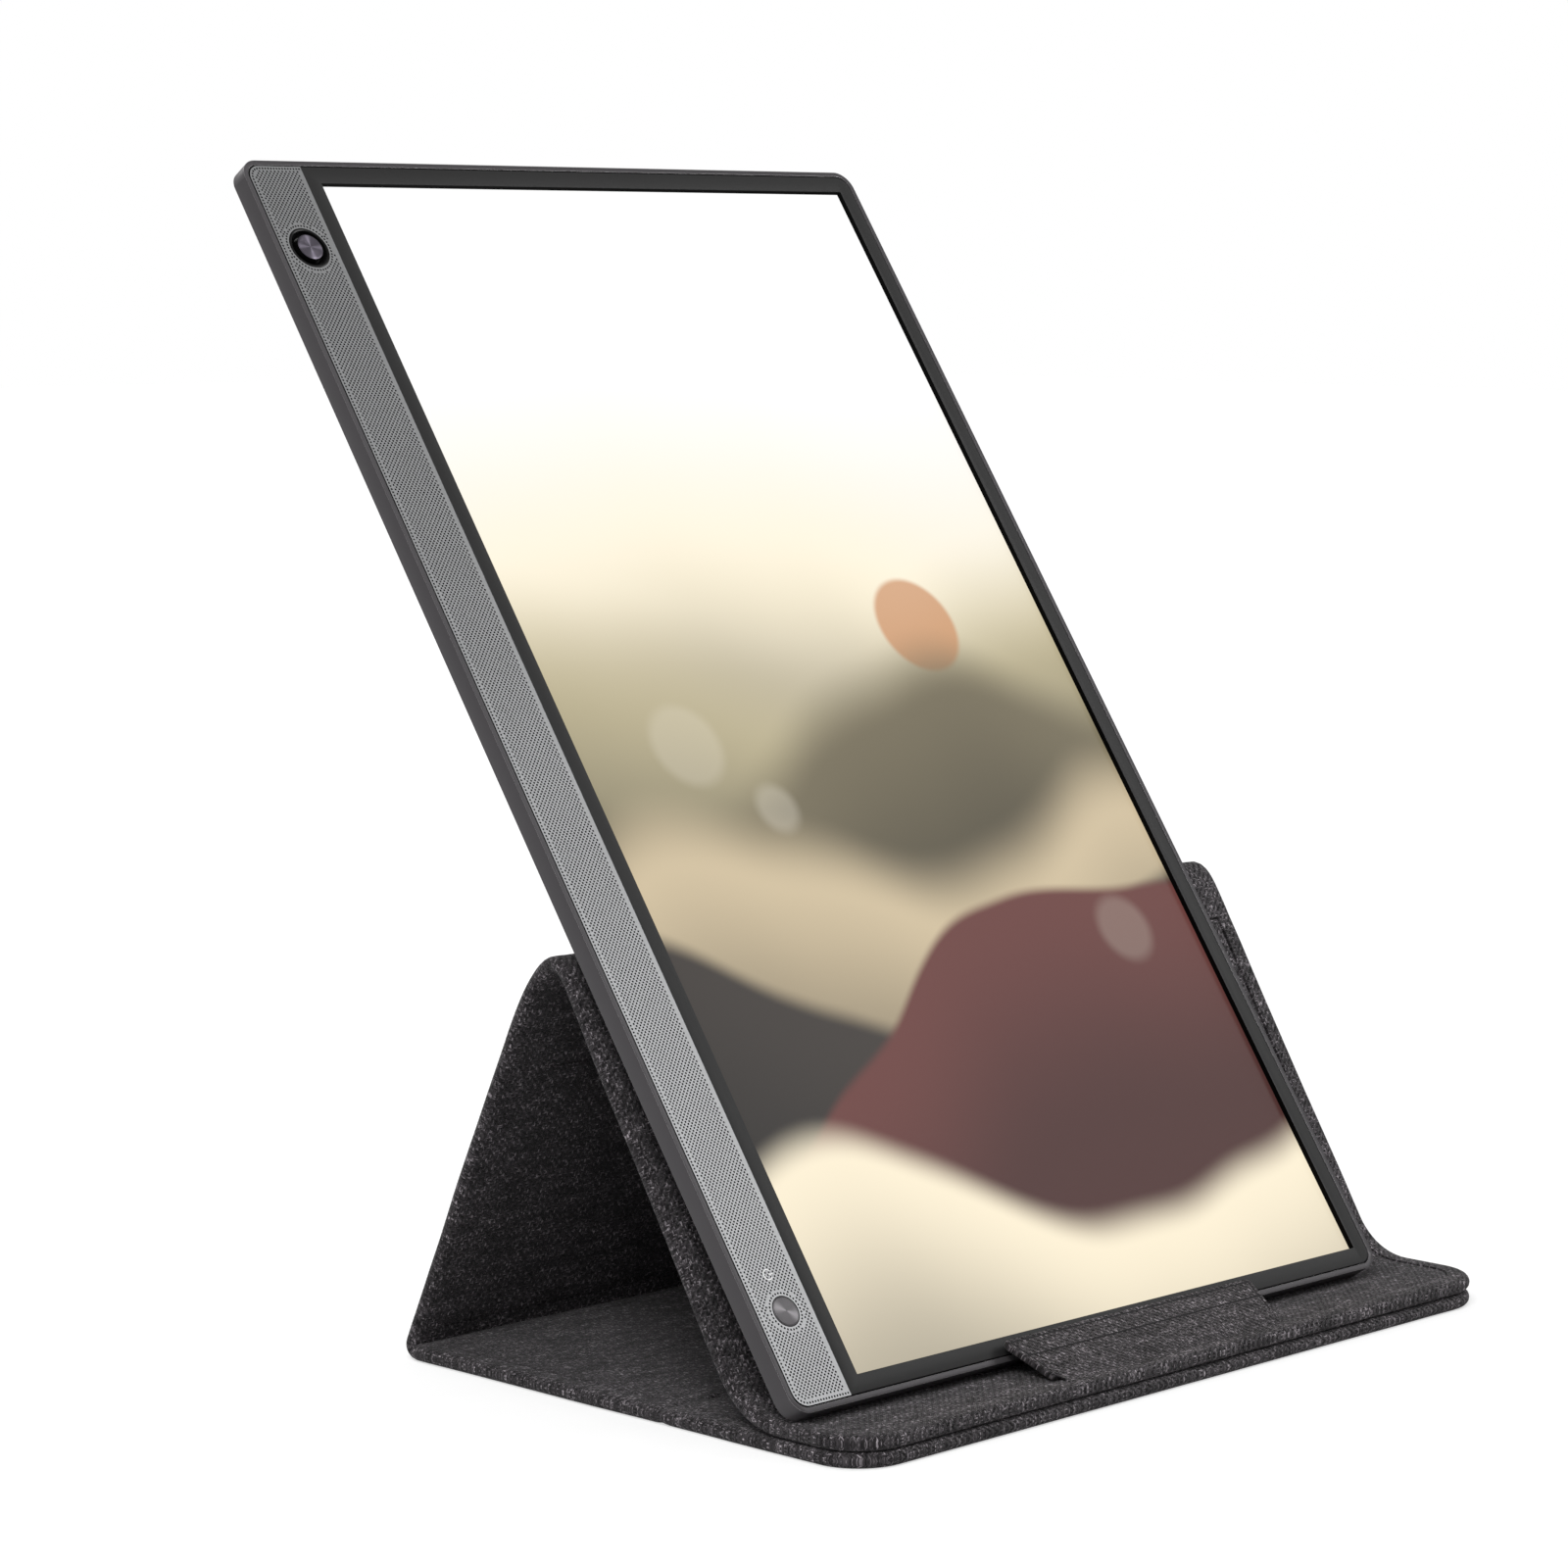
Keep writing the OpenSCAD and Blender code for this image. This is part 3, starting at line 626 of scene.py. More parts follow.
@dataclass(frozen=True)
class GlossBlack:
    """Polished black plastic with faint rubbing marks."""

    name: str = "gloss_black"

    def material(self) -> bpy.types.Material:
        """The plastic, on object coordinates."""
        w = Wiring(self.name)
        marks = w.speckle(w.stretched(w.object_place(), (1, 6, 1)), 900.0, 3.0)
        return w.surface(
            Base_Color=w.blend(marks, grey(0.002), grey(0.004)),
            Roughness=w.around(marks, 0.16, 0.12),
            Specular_IOR_Level=0.18,
        )


@dataclass(frozen=True)
class SpunMetal:
    """Metal turned to a fine record-like grain, with a painted highlight: bright rays from the middle,
    painted into its colour where the turned grain would shine.
    """

    name: str
    colour: Colour
    centre: tuple[float, float, float]
    lean: float
    # rays, highlight_turn, highlight_low and highlight_high shape the painted highlight: bright rays
    # painted into the colour round the middle.
    rays: int = 4
    highlight_turn: float = 0.3
    highlight_low: float = 0.6
    highlight_high: float = 1.6
    groove: float = 0.09 * MM
    groove_depth: float = 0.004 * MM

    def material(self) -> bpy.types.Material:
        """The metal, centred on the cap and turned with the screen."""
        w = Wiring(self.name)
        local = w.node(
            "ShaderNodeMapping",
            {
                "Vector": w.object_place(),
                "Location": self.centre,
                "Rotation": (math.pi / 2 - self.lean, 0, 0),
            },
            vector_type="TEXTURE",
        ).outputs[0]
        across, up = w.split(local)
        angle, radius = w.math("ARCTAN2", up, across), w.reach(across, up)
        turn = w.math("MULTIPLY_ADD", angle, float(self.rays), self.highlight_turn)
        # Painted highlight: bright rays painted into the base colour, darker between them, standing
        # for the turned grain's shine.
        painted_highlight = w.math("POWER", w.math("MULTIPLY_ADD", w.math("COSINE", turn), 0.5, 0.5), 5.0)
        rings = w.math("SINE", w.math("MULTIPLY", radius, 2 * math.pi / self.groove))
        drag = w.speckle(w.math("MULTIPLY", radius, 9000.0), 1.0, 2.0)
        tone = w.blend(painted_highlight, scaled(self.colour, self.highlight_low), scaled(self.colour, self.highlight_high))
        tone = w.blend(w.math("MULTIPLY", drag, 0.35), tone, scaled(self.colour, 0.35))
        return w.surface(
            Base_Color=tone,
            Metallic=0.9,
            Roughness=w.around(drag, 0.295, 0.15),
            Normal=w.bump(rings, self.groove_depth, 0.7),
        )


class ImageLayer(Enum):
    """Rolling land of the screen's picture, from the far hills to the near ones.

    Each has its height, its swing, its waves across, their start, its softness and its colour.
    """

    FAR_HAZE = (0.66, 0.050, 0.7, 0.4, 0.16, (0.78, 0.70, 0.52, 1.0))
    PALE_HILL = (0.565, 0.045, 0.9, 2.1, 0.07, (0.40, 0.35, 0.22, 1.0))
    OLIVE_HILL = (0.485, 0.060, 0.8, 4.4, 0.035, (0.135, 0.115, 0.07, 1.0))
    SAND_BAND = (0.395, 0.040, 1.1, 0.9, 0.04, (0.50, 0.41, 0.27, 1.0))
    BROWN_SLOPE = (0.325, 0.085, 0.55, 3.0, 0.012, (0.030, 0.024, 0.020, 1.0))
    WINE_SLOPE = (0.245, 0.110, 0.5, 5.3, 0.006, (0.105, 0.030, 0.026, 1.0))
    CREAM_SHORE = (0.115, 0.050, 0.8, 1.2, 0.02, (0.74, 0.66, 0.50, 1.0))


@dataclass(frozen=True)
class LitPicture:
    """A lit screen with a plain picture of soft hills under a white sky."""

    name: str = "lit_picture"
    sky: Colour = (1.0, 1.0, 1.0, 1.0)
    low_sky: Colour = (0.93, 0.87, 0.74, 1.0)
    sun: Colour = (0.60, 0.27, 0.11, 1.0)
    sun_place: tuple[float, float] = (0.735, 0.585)
    sun_size: float = 0.075
    sun_edge: float = 0.006
    spots: tuple = (((0.20, 0.50), 0.06, 0.16), ((0.31, 0.44), 0.035, 0.2), ((0.86, 0.30), 0.05, 0.12))
    spot_edge: float = 0.012
    proportion: float = 1.77
    ragged: float = 0.10
    layer_shift: float = 0.37

    def disc(
        self, w: Wiring, parts: Sequence, place: tuple[float, float], size: float, soft: float
    ) -> bpy.types.NodeSocket:
        """The mask of a round spot.

        Args:
            w: The material's wiring.
            parts: The two coordinates of the picture.
            place: The spot's middle.
            size: Its radius, as a share of the width.
            soft: How far its edge fades.

        Returns:
            1 inside and 0 outside.
        """
        across = w.math("SUBTRACT", parts[0], place[0])
        up = w.math("MULTIPLY", w.math("SUBTRACT", parts[1], place[1]), self.proportion)
        return w.math("SUBTRACT", 1.0, w.between(w.reach(across, up), size - soft, size + soft))

    def land(self, w: Wiring, place: object, number: int, picture: object) -> bpy.types.NodeSocket:
        """The picture with one more stretch of land laid over it."""
        level, swing, waves, start, soft, colour = list(ImageLayer)[number].value
        across, up = w.split(place)
        phase = w.math("MULTIPLY_ADD", across, waves * 2 * math.pi, start)
        shifted = w.vector("ADD", place, (self.layer_shift * number, 0, 0))
        rough = w.speckle(w.stretched(shifted, (1.5, 0, 0)), 1.6, 1.0, 0.35)
        edge = w.math("MULTIPLY_ADD", w.math("SINE", phase), swing, level - self.ragged / 2)
        edge = w.math("MULTIPLY_ADD", rough, self.ragged, edge)
        under = w.math("SUBTRACT", edge, up)
        shade = w.blend(w.between(under, 0.0, 0.20), scaled(colour, 1.3), scaled(colour, 0.6))
        return w.blend(w.between(under, -soft, soft), picture, shade)

    def material(self) -> bpy.types.Material:
        """The picture behind a matt glass, on the face's own map."""
        w = Wiring(self.name)
        place = w.map_place(FACE_MAP)
        parts = w.split(place)
        picture = w.blend(w.between(parts[1], 0.56, 0.86), self.low_sky, self.sky)
        sun = self.disc(w, parts, self.sun_place, self.sun_size, self.sun_edge)
        for number, layer in enumerate(ImageLayer):
            if layer is ImageLayer.OLIVE_HILL:
                picture = w.blend(w.math("MULTIPLY", sun, 0.8), picture, self.sun)
            picture = self.land(w, place, number, picture)
        for spot, size, glow in self.spots:
            mask = self.disc(w, parts, spot, size, self.spot_edge)
            picture = w.blend(w.math("MULTIPLY", mask, glow), picture, self.low_sky)
        return w.surface(
            Base_Color=grey(0.02),
            Roughness=w.around(w.speckle(place, 700.0), 0.43, 0.1),
            Specular_IOR_Level=0.12,
            Emission_Color=picture,
            Emission_Strength=1.0,
        )


@dataclass(frozen=True)
class CircuitBoard:
    """Green solder mask over faint copper tracks."""

    name: str = "circuit_board"

    def material(self) -> bpy.types.Material:
        """The board, on object coordinates."""
        w = Wiring(self.name)
        place = w.object_place()
        tracks = w.node(
            "ShaderNodeTexBrick",
            {"Vector": w.stretched(place, (1, 1.2, 0.8)), "Scale": 260.0, "Mortar Size": 0.03},
        ).outputs[1]
        mottle = w.speckle(place, 420.0, 3.0)
        tone = w.blend(mottle, (0.006, 0.075, 0.03, 1.0), (0.012, 0.12, 0.05, 1.0))
        tone = w.blend(w.math("MULTIPLY", tracks, 0.5), tone, (0.05, 0.22, 0.09, 1.0))
        return w.surface(
            Base_Color=tone, Roughness=0.35, Coat_Weight=0.3, Normal=w.bump(tracks, 0.03 * MM)
        )


@dataclass(frozen=True)
class SheetStuff:
    """A plain sheet, board or foil with a fibrous or rolled mottle."""

    name: str
    colour: Colour
    metallic: float = 0.0
    roughness: float = 0.6
    grain: tuple[float, float, float] = (1.0, 1.0, 1.0)
    pitch: float = 900.0
    see_through: float = 0.0

    def material(self) -> bpy.types.Material:
        """The stuff, on object coordinates."""
        w = Wiring(self.name)
        place = w.stretched(w.object_place(), self.grain)
        mottle = w.speckle(place, self.pitch, 3.0, 0.6)
        tone = w.blend(mottle, scaled(self.colour, 0.78), scaled(self.colour, 1.15))
        return w.surface(
            Base_Color=tone,
            Metallic=self.metallic,
            Roughness=w.around(mottle, self.roughness, 0.2),
            Transmission_Weight=self.see_through,
            Normal=w.bump(mottle, 0.03 * MM, 0.5),
        )


class Finishes:
    """All finishes of the object, each made once."""

    def __init__(self, monitor: "MonitorFrame") -> None:
        """Makes every material.

        Args:
            monitor: Gives the middle of each button's cap.
        """
        menu = tuple(monitor.to_world @ monitor.middle("menu_button"))
        power = tuple(monitor.to_world @ monitor.middle("power_button"))
        self.cloth = TwillCloth().material()
        self.inlay_cloth = TwillCloth(
            "inlay_twill",
            middle=(0.064, 0.057, 0.062, 1.0),
            fleck=(0.42, 0.38, 0.41, 1.0),
            fleck_from=0.572,
        ).material()
        self.frame_paint = SatinPaint("frame_paint", (0.070, 0.066, 0.070, 1.0)).material()
        self.bright_edge = SatinPaint(
            "bright_edge", (0.48, 0.47, 0.47, 1.0), metallic=0.85, roughness=0.3
        ).material()
        self.strip_paint = SatinPaint(
            "strip_paint", (0.265, 0.268, 0.272, 1.0), metallic=0.6, roughness=0.40, wear=0.1
        ).material()
        # The dark dust cloth under the strip's holes, also used as painted shade on the strip's walls.
        self.dust_cloth_and_painted_shade = MouldedPlastic("dust_cloth_and_painted_shade", grey(0.003), 0.9, gloss=0.0).material()
        self.bezel = MouldedPlastic("bezel_plastic", grey(0.016, 0.0003), gloss=0.3).material()
        # Near-black for the walls of the screen's opening: darker plastic and painted shade.
        self.opening = MouldedPlastic("opening_black_and_shade", grey(0.002), 0.7, gloss=0.02).material()
        self.shell = MouldedPlastic(
            "shell_plastic", grey(0.04, 0.001), 0.6, 0.03 * MM, 1900.0
        ).material()
        self.gloss = GlossBlack().material()
        self.menu_metal = SpunMetal(
            "menu_metal", (0.21, 0.19, 0.235, 1.0), menu, monitor.lean
        ).material()
        # The power cap's painted highlight has two broad rays.
        self.power_metal = SpunMetal(
            "power_metal", (0.11, 0.105, 0.11, 1.0), power, monitor.lean, rays=2, highlight_turn=1.1,
            highlight_low=0.7, highlight_high=1.7,
        ).material()
        self.glyph = MouldedPlastic("printed_white", grey(0.75), 0.5).material()
        self.picture = LitPicture().material()
        self.cell_edge = MouldedPlastic("cell_edge", grey(0.01), 0.25).material()
        # Dark thread for the stitches, also used as painted shade on the walls of the tab's seam
        # grooves.
        self.thread_and_seam_shade = SheetStuff(
            "thread_and_seam_shade", (0.012, 0.011, 0.012, 1.0), 0.0, 0.8, pitch=3000.0
        ).material()
        inner = {
            "film_white": SheetStuff("film_white", grey(0.8)),
            "guide_clear": SheetStuff(
                "guide_clear", (0.8, 0.86, 0.9, 1.0), roughness=0.15, see_through=0.6
            ),
            "led_cream": SheetStuff("led_cream", (0.8, 0.74, 0.48, 1.0)),
            "tray_metal": SheetStuff("tray_metal", grey(0.6), 0.9, 0.35, (1.0, 0.04, 0.04), 1800.0),
            "board_green": CircuitBoard(),
            "flex_amber": SheetStuff("flex_amber", (0.5, 0.2, 0.02, 1.0), 0.0, 0.3, (8.0, 0.2, 0.2)),
            "chip_black": MouldedPlastic("chip_black", grey(0.02), 0.45),
            "screw_steel": SheetStuff("screw_steel", grey(0.5), 1.0, 0.3),
            "socket_steel": SheetStuff(
                "socket_steel", grey(0.62), 1.0, 0.28, (1.0, 0.1, 1.0), 2400.0
            ),
            "stiffener": SheetStuff("greyboard", (0.3, 0.27, 0.22, 1.0), 0.0, 0.85, (1.0, 0.3, 1.0)),
            "magnet_nickel": SheetStuff("magnet_nickel", grey(0.6), 1.0, 0.25),
        }
        self.by_slot = {slot: finish.material() for slot, finish in inner.items()}


# The monitor


RING_FLANGE = 0.6 * MM
CAP_CATCH = 0.8 * MM


class MonitorFrame:
    """The monitor's own frame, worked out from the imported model."""

    def __init__(self) -> None:
        """Finds the frame from the slide along the screen and the housing's outer wall."""
        up = Vector(cad_joint("monitor_lift")["axis"]).normalized()
        self.lean = math.atan2(up.y, up.z)
        turn = Matrix((ACROSS, up, ACROSS.cross(up))).transposed()
        wall = points_of(frame["nodes"]["mid_frame"]) @ np.array(turn)
        low, high = wall.min(0), wall.max(0)
        origin = turn @ Vector(((low[0] + high[0]) / 2, low[1], high[2]))
        self.to_world = Matrix.Translation(origin) @ turn.to_4x4()
        self.from_world = self.to_world.inverted()

    def box(self, node: str) -> tuple[Vector, Vector]:
        """The lowest and highest corner of a CAD node, in the monitor's frame."""
        world = points_of(frame["nodes"][node])
        local = world @ np.array(self.from_world.to_3x3()).T + np.array(self.from_world.translation)
        return Vector(local.min(0)), Vector(local.max(0))

    def middle(self, node: str) -> Vector:
        """The middle of a CAD node, at the height of its front, in the monitor's frame."""
        low, high = self.box(node)
        return Vector(((low.x + high.x) / 2, (low.y + high.y) / 2, high.z))


@dataclass(frozen=True)
class HoleGrid:
    """The pattern of small round holes in the loudspeaker strip."""

    pitch_across: float = 1.258 * MM
    pitch_along: float = 0.649 * MM
    radius: float = 0.305 * MM
    sides: int = 6
    depth: float = 0.7 * MM
    row_spacing: float = 0.93 * MM
    edge_margin: float = 0.72 * MM
    clear_margin: float = 0.8 * MM

    def hole(self, centre: np.ndarray) -> np.ndarray:
        """The corners of one hole."""
        return centre + self.radius * circle(self.sides)


@dataclass
class SpeakerStrip:
    """The perforated strip beside the screen."""

    frame: MonitorFrame
    corner_radius: float = 4.0 * MM
    corner_steps: int = 10
    opening_steps: int = 56
    row_steps: int = 40
    ring_play: float = 0.05 * MM
    button_gap: float = 0.15 * MM
    holes: HoleGrid = HoleGrid()

    def __post_init__(self) -> None:
        """Takes the strip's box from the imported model."""
        self.low, self.high = self.frame.box("speaker_strip")

    def corners(self, radius: float, points: int) -> list[np.ndarray]:
        """Arcs of a given radius round the centres of the two outer corners."""
        low, high, r = self.low, self.high, self.corner_radius
        turn = np.linspace(0, np.pi / 2, points)
        return [
            np.c_[low.x + r - radius * np.sin(turn), high.y - r + radius * np.cos(turn)],
            np.c_[low.x + r - radius * np.cos(turn), low.y + r - radius * np.sin(turn)],
        ]

    def outline(self) -> np.ndarray:
        """The strip's outline, with round corners on its outer side."""
        right = np.array([(self.high.x, self.low.y), (self.high.x, self.high.y)])
        return np.vstack([*self.corners(self.corner_radius, self.corner_steps + 1), right])

    def openings(self) -> list[tuple[np.ndarray, float]]:
        """The middle and radius of the two round openings for the buttons."""
        found = []
        for node, hidden, play in (
            ("menu_ring", RING_FLANGE, self.ring_play),
            ("power_button", CAP_CATCH, self.button_gap),
        ):
            low, high = self.frame.box(node)
            radius = (high.x - low.x) / 2 - hidden + play
            found.append((np.array(self.frame.middle(node).xy), radius))
        return found

    def edge_distance(self, points: np.ndarray) -> np.ndarray:
        """How far points lie inside the strip's outline."""
        low, high, r = self.low, self.high, self.corner_radius
        left, right = points[:, 0] - low.x, high.x - points[:, 0]
        ends = np.minimum(points[:, 1] - low.y, high.y - points[:, 1])
        corner = r - np.hypot(r - left, r - ends)
        rounded = np.where((left < r) & (ends < r), corner, np.minimum(left, ends))
        return np.minimum(rounded, right)

    def border_row(self) -> np.ndarray:
        """Hole places along the outline, following its round corners."""
        low, high, margin = self.low, self.high, self.holes.edge_margin
        start = np.array([(high.x - margin, high.y - margin)])
        end = np.array([(high.x - margin, low.y + margin)])
        arcs = self.corners(self.corner_radius - margin, self.row_steps)
        line = np.vstack([start, *arcs, end])
        lengths = np.r_[0, np.cumsum(np.hypot(*np.diff(line, axis=0).T))]
        count = int(lengths[-1] / self.holes.row_spacing)
        spots = np.linspace(0, lengths[-1], count + 1)
        return np.c_[np.interp(spots, lengths, line[:, 0]), np.interp(spots, lengths, line[:, 1])]

    def hole_places(self) -> np.ndarray:
        """The middle of every hole: a border row, rings round the buttons, and a staggered grid."""
        low, high, h = self.low, self.high, self.holes
        rows = int((high.y - low.y) / h.pitch_along) + 1
        columns = int((high.x - low.x) / h.pitch_across) + 2
        grid = np.array(
            [
                (low.x + (column + 0.5 * (row % 2)) * h.pitch_across, low.y + row * h.pitch_along)
                for row in range(rows)
                for column in range(columns)
            ]
        )
        grid = grid[self.edge_distance(grid) > h.edge_margin + h.clear_margin]
        rings = []
        for centre, radius in self.openings():
            ring_r = radius + h.edge_margin
            rings.append(centre + ring_r * circle(int(2 * np.pi * ring_r / h.row_spacing)))
            grid = grid[np.hypot(*(grid - centre).T) > ring_r + h.clear_margin]
        return np.vstack([self.border_row(), *rings, grid])

    def build(self) -> bpy.types.Object:
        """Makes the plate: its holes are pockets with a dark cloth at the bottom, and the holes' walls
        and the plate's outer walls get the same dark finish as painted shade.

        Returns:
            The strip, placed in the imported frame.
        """
        loops = [self.outline()]
        for centre, radius in self.openings():
            loops.append(centre + radius * circle(self.opening_steps))
        walls = len(loops)
        loops += [self.holes.hole(p) for p in self.hole_places()]
        starts = np.r_[0, np.cumsum([len(p) for p in loops])]
        flat = np.vstack(loops)
        shapes = [list(range(a, b)) for a, b in zip(starts[:-1], starts[1:])]
        front_z, floor_z, back_z = self.high.z, self.high.z - self.holes.depth, self.low.z
        count, rim = len(flat), starts[walls]
        verts = np.vstack(
            [
                np.c_[flat, np.full(count, front_z)],
                np.c_[flat[rim:], np.full(count - rim, floor_z)],
                np.c_[flat[:rim], np.full(rim, back_z)],
            ]
        )
        to_floor, to_back = count - rim, count + (count - rim)
        faces = [tuple(t) for t in self.filled(flat, shapes)]
        walls_from = len(faces)
        for shape in shapes[:walls]:
            faces += [(a, to_back + a, to_back + b, b) for a, b in zip(shape, shape[1:] + shape[:1])]
        walls_to = len(faces)
        back = self.filled(flat[:rim], shapes[:walls])
        faces += [tuple(to_back + i for i in reversed(t)) for t in back]
        floors_from = len(faces)
        faces += [tuple(to_floor + i for i in shape) for shape in shapes[walls:]]
        for shape in shapes[walls:]:
            for a, b in zip(shape, shape[1:] + shape[:1]):
                faces.append((a, b, to_floor + b, to_floor + a))
        mesh = bpy.data.meshes.new("strip_grille")
        mesh.from_pydata(verts.tolist(), [], faces)
        obj = link_new("strip_grille", mesh)
        slots = np.zeros(len(faces), np.int32)
        # Painted shade: the outer walls and the holes' walls get the dark cloth's finish, so that the
        # groove round the strip and the holes read dark.
        slots[walls_from:walls_to] = 1
        slots[floors_from:] = 1
        mesh.polygons.foreach_set("material_index", slots)
        face_out(obj)
        place_mesh(obj, self.frame.to_world)
        return obj

    @staticmethod
    def filled(flat: np.ndarray, shapes: list[list[int]]) -> list[list[int]]:
        """Fills the first outline around all the others.

        Args:
            flat: The points of all outlines.
            shapes: Each outline's point numbers.

        Returns:
            The triangles between the outlines.
        """
        points = [Vector(p) for p in (flat * (1 / MM)).tolist()]
        _, _, faces, from_verts, _, from_faces = delaunay_2d_cdt(points, [], shapes, 1, 1e-6)
        numbers = [v[0] for v in from_verts]
        return [[numbers[i] for i in f] for f, source in zip(faces, from_faces) if source == [0]]


@dataclass
class MonitorBody:
    """The monitor's housing, strip, display face and inner parts."""

    frame: MonitorFrame
    finishes: Finishes
    chamfer: float = 0.28 * MM
    plate_edge: float = 0.12 * MM
    shell_edge: float = 0.5 * MM
    cell_lap: float = 1.1 * MM
    side_play: float = 0.02 * MM

    def dress(
        self,
        obj: bpy.types.Object,
        slot: str,
        nodes: Sequence[str],
        *materials: bpy.types.Material,
        body: str = "monitor",
    ) -> None:
        """Gives a piece its materials and its body, and hides the nodes that it stands for."""
        for material in materials:
            obj.data.materials.append(material)
        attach(obj, body)
        if nodes:
            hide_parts(*nodes)
        log.info("%s: %d faces, rides on %s", obj.name, len(obj.data.polygons), body)

    def rim(self) -> None:
        """The painted frame with a bright chamfer round its front."""
        obj = cad_copy("mid_frame", "frame_rim")
        for material in (self.finishes.frame_paint, self.finishes.bright_edge):
            obj.data.materials.append(material)
        round_edges(obj, self.chamfer, material=1)
        self.dress(obj, "frame_metal", ["mid_frame"])

    def bezel(self) -> None:
        """The front plate, whose opening has near-black walls: darker plastic and painted shade inside
        the opening.
        """
        obj = cad_copy("front_bezel", "bezel_plate")
        round_edges(obj, self.plate_edge)
        low, high = self.frame.box("lcd_cell")
        margin = self.cell_lap - self.side_play
        turn = self.frame.from_world
        spin = turn.to_3x3()
        for face in obj.data.polygons:
            place, normal = turn @ face.center, spin @ face.normal
            inside = (
                low.x + margin < place.x < high.x - margin
                and low.y + margin < place.y < high.y - margin
            )
            # Walls of the opening get the near-black finish, as painted shade in the opening.
            face.material_index = int(inside and abs(normal.z) < 0.3)
        finishes = self.finishes
        self.dress(obj, "bezel_charcoal", ["front_bezel"], finishes.bezel, finishes.opening)

    def shell(self) -> None:
        """The tapered back."""
        obj = cad_copy("rear_shell", "back_shell")
        round_edges(obj, self.shell_edge, 3, 24, use_clamp_overlap=True)
        self.dress(obj, "shell_plastic", ["rear_shell"], self.finishes.shell)

    def strip(self) -> None:
        """The perforated strip."""
        obj = SpeakerStrip(self.frame).build()
        self.dress(
            obj, "strip_metal", ["speaker_strip"], self.finishes.strip_paint,
            self.finishes.dust_cloth_and_painted_shade,
        )

    def display(self) -> None:
        """The display cell with its lit face."""
        low, high = self.frame.box("lcd_cell")
        size = (high.x - low.x, high.y - low.y)
        middle = ((low.x + high.x) / 2, (low.y + high.y) / 2, low.z)
        obj = add_plane("display_face", size, middle)
        lap = self.cell_lap
        with editing(obj):
            thicken(high.z - low.z)
            pick_faces(obj, lambda f: f.normal.z > 0.9)
            inset(lap)
        for face in obj.data.polygons:
            lit = face.normal.z > 0.9 and face.area > 0.5 * size[0] * size[1]
            face.material_index = int(lit)
        place = points_of(obj)
        wide, tall = size[0] - 2 * lap, size[1] - 2 * lap
        uv = np.c_[(place[:, 0] - low.x - lap) / wide, (place[:, 1] - low.y - lap) / tall]
        write_uv(obj, FACE_MAP, uv)
        place_mesh(obj, self.frame.to_world)
        self.dress(
            obj, "screen_glass", ["lcd_cell"], self.finishes.cell_edge, self.finishes.picture
        )

    def inner_parts(self) -> None:
        """Gives every inner node that keeps its CAD shape its procedural finish."""
        kept = {
            "film_white": ["diffuser_film", "reflector_sheet"],
            "guide_clear": ["light_guide"],
            "led_cream": ["led_bar"],
            "tray_metal": ["backlight_tray"],
            "board_green": ["timing_board", "main_board", "io_board", "power_board"],
            "flex_amber": ["panel_flex"],
            "chip_black": ["board_chips", "tact_switches", "speaker_upper", "speaker_lower"],
            "screw_steel": ["board_screws"],
            "socket_steel": ["usb_c_socket"],
            "stiffener": [
                "base_board_rear", "base_board_front", "rear_board", "lean_board", "ledge_board",
                "tab_stiffener",
            ],
            "magnet_nickel": ["base_magnets", "ledge_magnets"],
        }
        for slot, nodes in kept.items():
            for node in nodes:
                obj = frame["nodes"][node]
                obj.data.materials.clear()
                obj.data.materials.append(self.finishes.by_slot[slot])
            log.info("%s: %s keep their shape", slot, ", ".join(nodes))

    def build(self) -> None:
        """Builds the housing from the front to the back."""
        self.rim()
        self.bezel()
        self.strip()
        self.display()
        self.shell()
        self.inner_parts()


